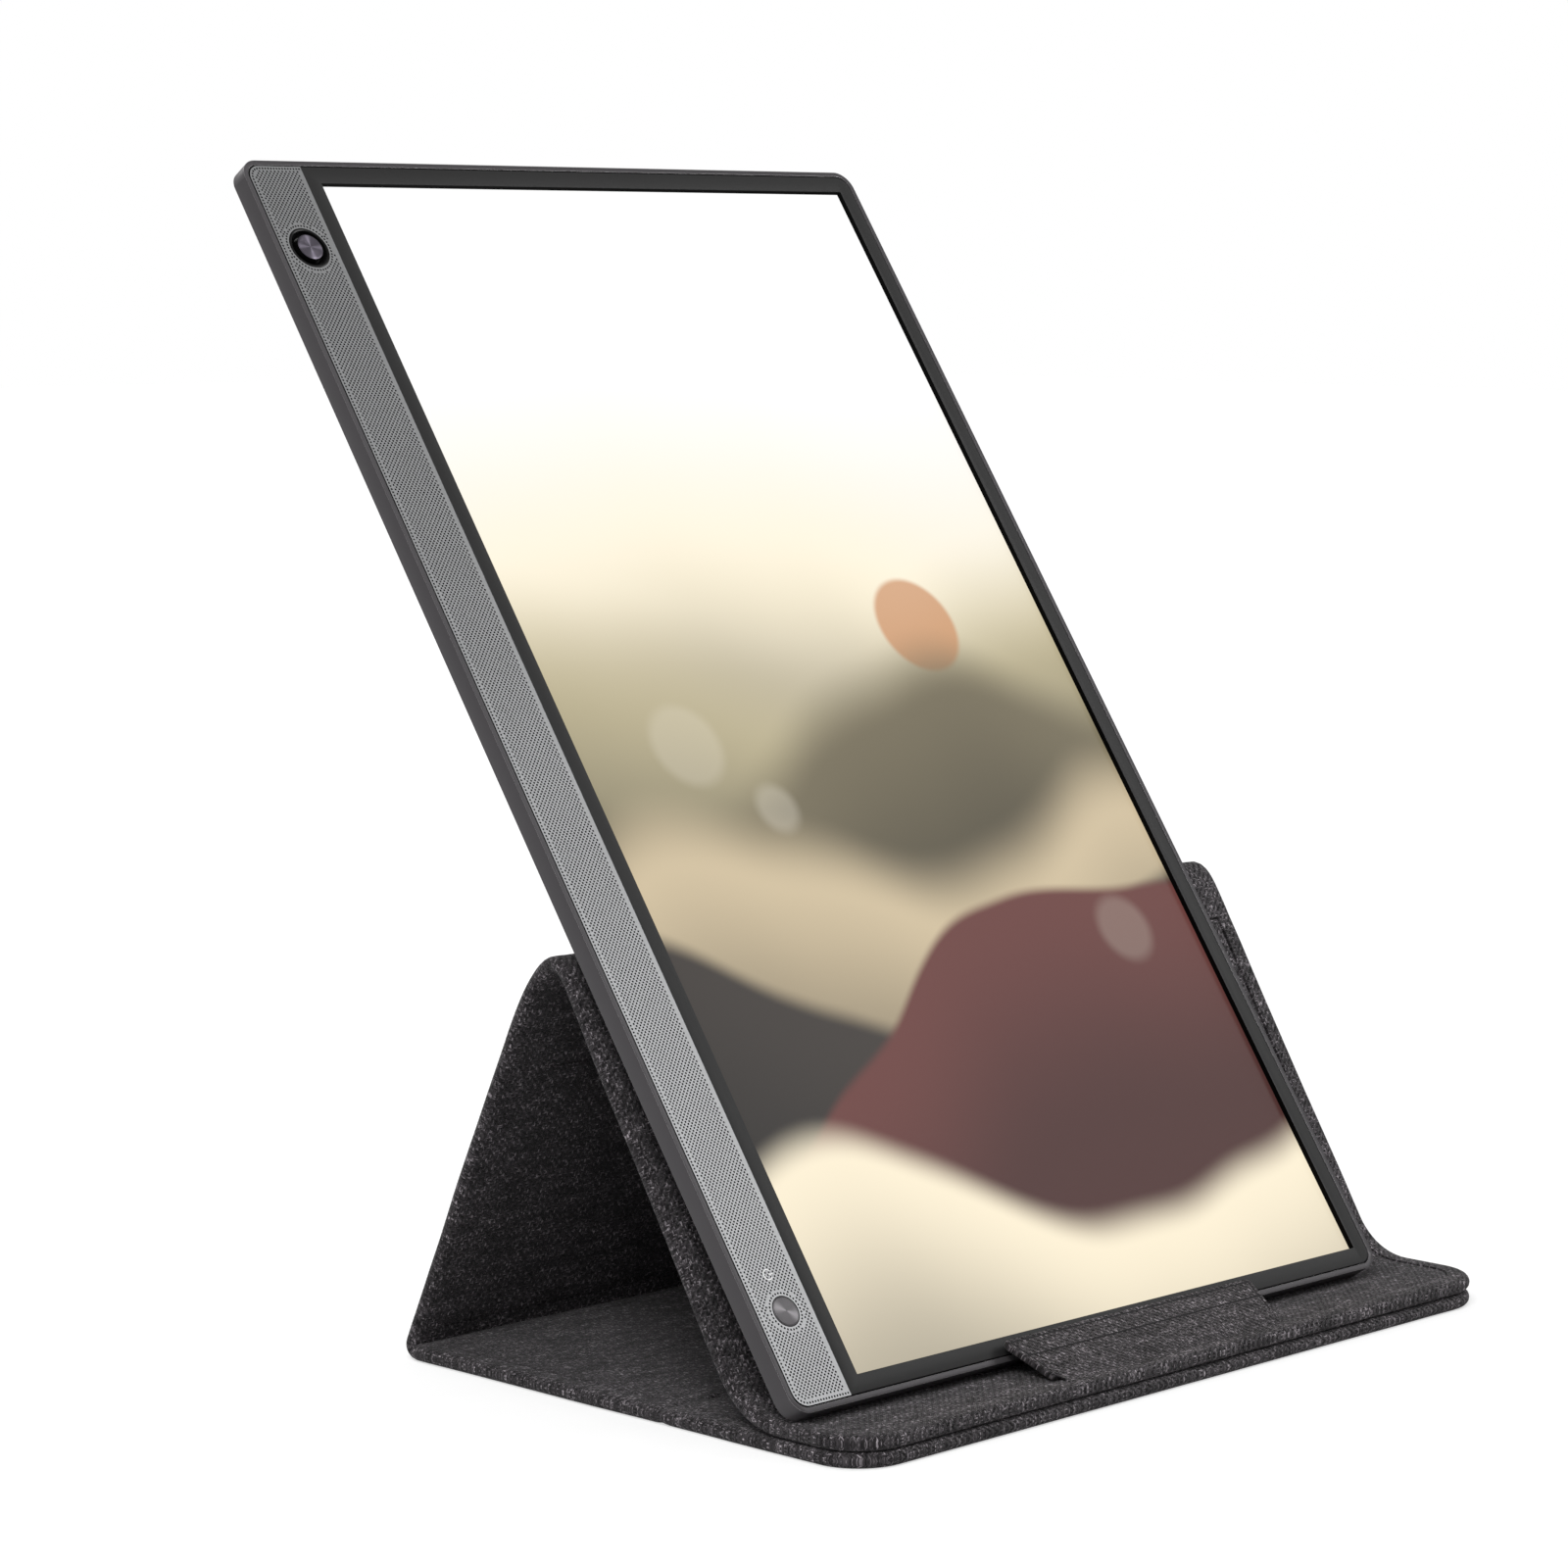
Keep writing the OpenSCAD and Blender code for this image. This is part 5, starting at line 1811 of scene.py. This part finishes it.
@dataclass
class FoldedCover:
    """The whole cover: three stretches of cloth, three inlays and the stop tab."""

    finishes: Finishes
    sizes: CoverSizes = CoverSizes()

    def rows(self, line: FoldLine) -> list[float]:
        """Where the cloth is cut across: close together in folds, wide apart on the panels."""
        crease = line.base_end - self.sizes.crease_from_rear
        near_crease = [crease + d * MM for d in (-3.2, -2.0, -1.2, -0.6, 0, 0.6, 1.2, 2.0, 3.2)]
        return [
            *spaced(6 * MM, crease - 6 * MM, 9 * MM), *near_crease,
            *spaced(crease + 7 * MM, line.base_end - 3 * MM, 9 * MM),
            *spaced(line.base_end - 1.5 * MM, line.rear_start + 1.5 * MM, 0.5 * MM),
            *spaced(line.rear_start + 4 * MM, line.rear_end - 4 * MM, 9 * MM),
            *spaced(line.rear_end, line.lean_start, 1.5 * MM),
            *spaced(line.lean_start + 4 * MM, line.lean_end - 3 * MM, 9 * MM),
            *spaced(line.lean_end, line.ledge_start, 1.8 * MM),
            *spaced(line.ledge_start + 4 * MM, line.total - 6 * MM, 8 * MM),
        ]

    def finish(
        self,
        obj: bpy.types.Object,
        bodies: tuple[str, str] | str,
        nodes: Sequence[str],
        zone: tuple[Sequence[float], Sequence[float]] | None = None,
        inlay: bool = False,
    ) -> None:
        """Gives a piece of cloth its finish and joins it to one body; a piece across a joint only has
        its place moved into its mesh.

        Args:
            obj: The piece.
            bodies: Its body, or the two bodies on either side of its joint, which are only logged.
            nodes: The CAD nodes that it stands for.
            zone: Where the bend between two bodies starts and ends.
            inlay: Whether it is an inlay.
        """
        obj.data.materials.append(self.finishes.inlay_cloth if inlay else self.finishes.cloth)
        if zone is None:
            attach(obj, bodies)
        else:
            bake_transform(obj)
        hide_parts(*nodes)
        log.info("%s: %d faces, on %s", obj.name, len(obj.data.polygons), bodies)

    def zones(self, line: FoldLine) -> dict[str, tuple[Sequence[float], Sequence[float]]]:
        """Where each fold starts and ends."""
        rear = Vector(cad_joint("rear_fold")["pos_m"])
        slant = Vector((0, 0.7, 0.7)).normalized() * 3.5 * MM
        found = {"rear_fold": (tuple(rear - slant), tuple(rear + slant))}
        for fold, ends in (
            ("apex_fold", (line.rear_end, line.lean_start)),
            ("front_bend", (line.lean_end, line.ledge_start)),
        ):
            start, end = line.line[np.searchsorted(line.lengths, ends)]
            found[fold] = ((0, *start), (0, end[0], start[1]))
        return found

    def build(self) -> None:
        """Builds the cloth from the base's front edge over the top to the ledge."""
        sizes, line = self.sizes, FoldLine(self.sizes)
        rows, zones = self.rows(line), self.zones(line)
        rear_seam = (line.rear_start + line.rear_end) / 2
        lean_seam = (line.lean_start + line.lean_end) / 2
        near = sizes.rim + sizes.play
        rear_bed = (line.rear_start + near, line.rear_end - near)
        lean_bed_start = line.lean_start + near
        rows = sorted(rows + [*rear_bed, lean_bed_start, line.base_end - near])
        common = {"line": line, "sizes": sizes, "rows": rows}
        base = RolledPanel(
            "cover_base", start=0.0, end=rear_seam, free_start=True,
            recesses=[
                Recess(Face.INNER, 0.0, line.base_end - near),
                Recess(Face.INNER, rear_bed[0], rear_seam + 1),
            ],
            **common,
        )
        top = RolledPanel(
            "cover_top", start=rear_seam, end=lean_seam,
            recesses=[
                Recess(Face.INNER, rear_seam - 1, rear_bed[1]),
                Recess(Face.OUTER, lean_bed_start, lean_seam + 1),
            ],
            **common,
        )
        front = RolledPanel(
            "cover_front", start=lean_seam, end=line.total, free_end=True,
            recesses=[Recess(Face.OUTER, lean_seam - 1, line.total)],
            **common,
        )
        pieces = [
            (base, ("base", "rear"), ["base_skin", "rear_fold_web"], "rear_fold"),
            (top, ("rear", "lean"), ["rear_skin", "apex_fold_web"], "apex_fold"),
            (front, ("lean", "ledge"), ["lean_skin", "front_fold_web", "ledge_skin"], "front_bend"),
        ]
        for panel, bodies, nodes, fold in pieces:
            obj = panel.build()
            self.finish(obj, bodies, nodes, zones[fold])
        inset_by = sizes.inlay_inset
        flush = {"play": 0.1 * MM, "top": 2.0 * MM, "edge_round": 0.15, "map_shift": 0.0}
        inlays = [
            (
                Inlay("base_inlay", base, Face.INNER, inset_by, line.base_end - near, rows,
                      round_start=True, **flush),
                "base", ["base_lining"], None,
            ),
            (
                Inlay("rear_inlay", base, Face.INNER, rear_bed[0], rear_bed[1], rows, **flush),
                "rear", ["rear_lining"], None,
            ),
            (
                Inlay("front_inlay", front, Face.OUTER, lean_bed_start, line.total - inset_by,
                      rows, round_end=True),
                ("lean", "ledge"), ["lean_lining", "ledge_lining"], zones["front_bend"],
            ),
        ]
        for inlay, bodies, nodes, zone in inlays:
            obj = inlay.build()
            self.finish(obj, bodies, nodes, zone, inlay=True)
        StopTab(self.finishes).build()


@dataclass
class StopTab:
    """The short stiff tab that stops the monitor's foot, with its rows of stitches."""

    finishes: Finishes
    slant: float = 4.0 * MM
    corner_r: float = 2.2 * MM
    thickness: float = 1.8 * MM
    stitch_len: float = 2.0 * MM
    stitch_gap: float = 0.7 * MM
    stitch_r: float = 0.16 * MM
    seam_from_edge: float = 1.5 * MM
    second_seam: float = 0.52
    hinge_lap: float = 2.0 * MM
    hinge_t: float = 0.4 * MM
    hinge_from_front: float = 2.0 * MM
    hinge_taper: float = 0.06
    seam_w: float = 0.5 * MM
    seam_depth: float = 0.3 * MM
    seam_ends: float = 1.0 * MM
    edge_soft: float = 0.55 * MM
    edge_steps: tuple = ((0.13, 0.5), (0.37, 0.37), (0.7, 0.13))
    map_shift: float = 0.031
    wave_h: float = 0.05 * MM
    fray_w: float = 0.16 * MM
    fray_from: float = 0.6 * MM

    def tab_frame(self) -> tuple[Matrix, float, float]:
        """The tab's own frame, its width and its length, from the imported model."""
        low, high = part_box("stop_tab")
        _, up, _ = board_line("tab_stiffener")
        root = Vector(((low.x + high.x) / 2, *cad_joint("tab_fold")["pos_m"][1:]))
        angle = math.atan2(up[1], up[0])
        placed = Matrix.Translation(root) @ Euler((angle, 0, 0)).to_matrix().to_4x4()
        local = points_of(frame["nodes"]["stop_tab"])[:, 1:] - np.array(root[1:])
        return placed, high.x - low.x, float((local @ up).max())

    def build(self) -> None:
        """Builds the tab, its hinge cloth and its stitches."""
        placed, width, length = self.tab_frame()
        obj = self.plate(width, length)
        place = points_of(obj)
        set_points(obj, self.worn(place, length))
        # Painted shade: the walls of the seam grooves get the dark thread's finish.
        for face in obj.data.polygons:
            self.shade_seam_groove(face, width, length)
        place_mesh(obj, placed)
        write_uv(obj, WEAVE_MAP, place[:, :2] + self.map_shift)
        smooth(obj, 50)
        for material in (self.finishes.cloth, self.finishes.thread_and_seam_shade):
            obj.data.materials.append(material)
        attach(obj, "tab")
        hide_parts("stop_tab")
        hinge = self.hinge_cloth(placed, width)
        stitches = self.stitches(placed, width, length)
        log.info("%s: %d faces", obj.name, len(obj.data.polygons))

    def plate(self, width: float, length: float) -> bpy.types.Object:
        """Models the tab flat: a slanted plate with soft edges and a groove for each seam.

        Args:
            width: The tab's width at its free edge.
            length: Its length from the hinge line.

        Returns:
            The plate, with its hinge line on the X axis.
        """
        half_t = self.thickness / 2
        low = -half_t
        centre = (0, (length + low) / 2, -half_t)
        obj = add_plane("stop_tab_cloth", (width, length - low), centre)
        with editing(obj, PickMode.VERTS):
            pick_verts(obj, lambda p: p.y < 0)
            share = (width - 2 * self.slant) / width
            bpy.ops.transform.resize(value=(share, 1, 1), center_override=(0, 0, 0))
        round_ends(obj, (low, length), self.corner_r, 8)
        soft, half_w, groove = self.edge_soft, self.seam_w / 2, self.seam_depth * 0.9
        with editing(obj):
            thicken(self.thickness)
            for side in (1, -1):
                pick_faces(obj, lambda f, s=side: f.normal.z * s > 0.9)
                bpy.ops.transform.translate(value=(0, 0, -side * soft))
                for step_in, step_up in self.edge_steps:
                    inset(soft * step_in, soft * step_up)
                inset(self.seam_from_edge - 1.77 * soft)
                inset(half_w, -groove)
                inset(half_w, groove)
            cut(spaced(-width / 2, width / 2, 2.2 * MM)[1:-1], ACROSS)
            seam = length * self.second_seam
            cut([seam - half_w, seam, seam + half_w], ALONG)
            cut(spaced(1.5 * MM, length - 2.2 * MM, 2 * MM), ALONG)
            close_and_face_out()
        return obj

    def worn(self, place: np.ndarray, length: float) -> np.ndarray:
        """The plate's places with its waves, its second seam pulled in and its end frayed."""
        moved = place.copy()
        seam, half_t = length * self.second_seam, self.thickness / 2
        for i, (x, y, h) in enumerate(place):
            moved[i, 2] += self.wave_h * noise.noise(Vector((x * 60, y * 30, 2.0)))
            if abs(y - seam) < 0.2 * self.seam_w and abs(h) > 0.8 * half_t:
                moved[i, 2] -= math.copysign(self.seam_depth, h)
            if y > length - self.fray_from:
                fray = noise.noise(Vector((x * 900, y * 100, h * 900)))
                moved[i, 1] += self.fray_w * fray
        return moved

    def shade_seam_groove(self, face: bpy.types.MeshPolygon, width: float, length: float) -> None:
        """Gives the walls of a seam's groove the dark thread's finish: painted shade in the sunken
        seam.
        """
        place, ends = face.center, self.seam_ends
        reach = width / 2 - self.slant - ends + self.slant * place.y / length
        inside = ends < place.y < length - ends and abs(place.x) < reach
        face.material_index = int(inside and abs(face.normal.z) < 0.9)

    def hinge_cloth(self, placed: Matrix, width: float) -> bpy.types.Object:
        """The tab's cloth runs on from its face down to the ledge, where it is sewn in."""
        up = (placed.to_3x3() @ Vector((0, 1, 0))).yz
        face = (placed @ Vector((0, self.hinge_lap, self.thickness / 2 + 0.02 * MM))).yz
        front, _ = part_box("ledge_skin")
        ledge_top = mid_height("ledge_board") + CoverSizes().panel_t / 2
        sewn = Vector((front.y + self.hinge_from_front, ledge_top - 0.2 * MM))
        near = sewn + Vector((2.6 * MM, 0.45 * MM))
        poles = [np.array(p) for p in (face, face - up * 3.4 * MM, near, sewn)]
        guide = Guide(bezier(*poles))
        wide = width - 2 * self.slant - 0.6 * MM
        obj = add_plane("tab_hinge_cloth", (wide, guide.total), (0, guide.total / 2, 0))
        with editing(obj):
            pick_all()
            extrude((0, 0, -self.hinge_t))
            cut(spaced(0, guide.total, 0.6 * MM)[1:-1], ALONG)
            cut(spaced(-wide / 2, wide / 2, 5 * MM)[1:-1], ACROSS)
            close_and_face_out()
        place = points_of(obj)
        write_uv(obj, WEAVE_MAP, np.c_[place[:, 0], -place[:, 1]] + self.map_shift)
        place[:, 0] *= 1 - self.hinge_taper * place[:, 1] / guide.total
        place[:, 2] += 0.5 * self.hinge_t * np.clip(place[:, 1] / (2 * MM), 0, 1)
        place[:, 0] += placed.translation.x
        set_points(obj, guide.folded(place))
        smooth(obj, 50)
        obj.data.materials.append(self.finishes.cloth)
        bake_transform(obj)
        log.info("%s: %d faces, from ledge to tab", obj.name, len(obj.data.polygons))
        return obj

    def stitches(self, placed: Matrix, width: float, length: float) -> bpy.types.Object:
        """Sews a row of stitches near the free edge and a finer one half way down."""
        bpy.ops.object.select_all(action="DESELECT")
        bpy.ops.mesh.primitive_cylinder_add(
            vertices=6, radius=self.stitch_r, depth=self.stitch_len, rotation=(0, math.pi / 2, 0)
        )
        one = settled("one_stitch")
        with editing(one):
            pick_faces(one, lambda f: abs(f.normal.x) > 0.9)
            inset(self.stitch_r * 0.45, self.stitch_r * 0.6)
        rows = [(length - self.seam_from_edge, width - 2 * self.seam_from_edge - 3 * MM, 1.0),
                (length * self.second_seam, width - self.slant - 5 * MM, 0.8)]
        copies = []
        pitch = self.stitch_len + self.stitch_gap
        for y, span, share in rows:
            count = int(span / pitch)
            for i in range(count):
                x = (i - (count - 1) / 2) * pitch
                mesh = one.data.copy()
                mesh.transform(
                    Matrix.Translation((x, y, self.thickness / 2 - self.seam_depth))
                    @ Matrix.Rotation(math.radians(4), 4, "Z")
                    @ Matrix.Diagonal((share, share, share, 1))
                )
                copies.append(link_new("stitch", mesh))
        bpy.data.objects.remove(one)
        make_active(copies[0])
        for copy in copies:
            copy.select_set(True)
        bpy.ops.object.join()
        row = copies[0]
        row.name = row.data.name = "tab_stitches"
        place_mesh(row, placed)
        smooth(row, 40)
        row.data.materials.append(self.finishes.thread_and_seam_shade)
        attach(row, "tab")
        return row


# The studio


@dataclass(frozen=True)
class Lamp:
    """A soft square lamp that looks at a point."""

    name: str
    place: tuple[float, float, float]
    target: tuple[float, float, float]
    size: float
    power: float

    def build(self) -> None:
        """Hangs the lamp."""
        data = bpy.data.lights.new(self.name, "AREA")
        data.shape = "SQUARE"
        data.size = self.size
        data.energy = self.power
        lamp = link_new(self.name, data)
        lamp.location = self.place
        look = Vector(self.target) - Vector(self.place)
        lamp.rotation_euler = look.to_track_quat("-Z", "Y").to_euler()


@dataclass
class Studio:
    """Camera, pale floor, world and lamps."""

    camera_place: tuple[float, float, float] = (-0.8640, -0.7899, 0.2838)
    camera_degrees: tuple[float, float, float] = (81.5866, -0.1700, -46.3930)
    lens: float = 103.3
    shift: tuple[float, float] = (-0.0583, 0.0857)
    world_light: float = 0.42
    floor_size: float = 14.0
    floor_glow: float = 0.56
    far_glow: float = 0.26
    far_from: tuple[float, float] = (0.4, 2.2)
    lamp_target: tuple[float, float, float] = (0.0, 0.0, 0.12)

    def camera(self) -> None:
        """Sets the camera at the photograph's viewing angle."""
        data = bpy.data.cameras.new("camera")
        data.sensor_width = 36.0
        data.lens = self.lens
        data.shift_x, data.shift_y = self.shift
        data.clip_start, data.clip_end = 0.01, 50.0
        data.dof.use_dof = False
        camera = link_new("camera", data)
        camera.location = self.camera_place
        camera.rotation_euler = [math.radians(d) for d in self.camera_degrees]
        bpy.context.scene.camera = camera

    def floor(self) -> None:
        """Lays a wide pale floor that looks white and keeps the object's shadow."""
        obj = add_plane("floor", (self.floor_size, self.floor_size), (0, 0, 0))
        w = Wiring("floor_paper")
        rays = w.node("ShaderNodeLightPath").outputs
        seen = w.math("MAXIMUM", rays["Is Camera Ray"], rays["Is Glossy Ray"])
        seen = w.math("MAXIMUM", seen, rays["Is Transmission Ray"])
        place = w.object_place()
        fibre = w.speckle(place, 60.0, 3.0)
        far = w.node("ShaderNodeVectorMath", {0: place}, operation="LENGTH").outputs["Value"]
        far = w.between(far, *self.far_from)
        lift = w.math("MULTIPLY_ADD", far, self.far_glow, self.floor_glow)
        tone = w.blend(fibre, grey(0.52), grey(0.56))
        obj.data.materials.append(
            w.surface(
                Base_Color=tone, Roughness=0.9, Specular_IOR_Level=0.1,
                Emission_Color=grey(1.0), Emission_Strength=w.math("MULTIPLY", seen, lift),
            )
        )

    def world(self) -> None:
        """A white surround for the camera and for gloss, and a soft light for the rest."""
        world = bpy.data.worlds.new("surround")
        bpy.context.scene.world = world
        world.use_nodes = True
        tree = world.node_tree
        tree.nodes.clear()
        rays = tree.nodes.new("ShaderNodeLightPath")
        strength = tree.nodes.new("ShaderNodeMix")
        strength.inputs[2].default_value = self.world_light
        strength.inputs[3].default_value = 1.0
        tree.links.new(rays.outputs["Is Camera Ray"], strength.inputs[0])
        back = tree.nodes.new("ShaderNodeBackground")
        back.inputs[0].default_value = (1, 1, 1, 1)
        tree.links.new(strength.outputs[0], back.inputs[1])
        out = tree.nodes.new("ShaderNodeOutputWorld")
        tree.links.new(back.outputs[0], out.inputs[0])

    def build(self) -> None:
        """Sets up the whole studio."""
        self.camera()
        self.floor()
        self.world()
        for lamp in (
            Lamp("key", (-1.2, -0.7, 1.5), self.lamp_target, 0.8, 22.0),
            Lamp("fill", (1.3, -0.95, 1.15), self.lamp_target, 0.8, 9.0),
            Lamp("rear", (-0.3, 1.6, 1.2), self.lamp_target, 0.9, 9.0),
        ):
            lamp.build()
        bpy.context.scene.view_settings.view_transform = "Standard"
        log.info("studio: camera, floor, world and lamps")


def main() -> None:
    """Builds the monitor, its buttons, the cover and the studio, in that order."""
    logging.basicConfig(level=logging.INFO, format="%(relativeCreated)6d %(name)s: %(message)s")
    monitor = MonitorFrame()
    finishes = Finishes(monitor)
    Studio().build()
    body = MonitorBody(monitor, finishes)
    body.build()
    Buttons(body).build()
    FoldedCover(finishes).build()


if __name__ == "__main__":
    main()
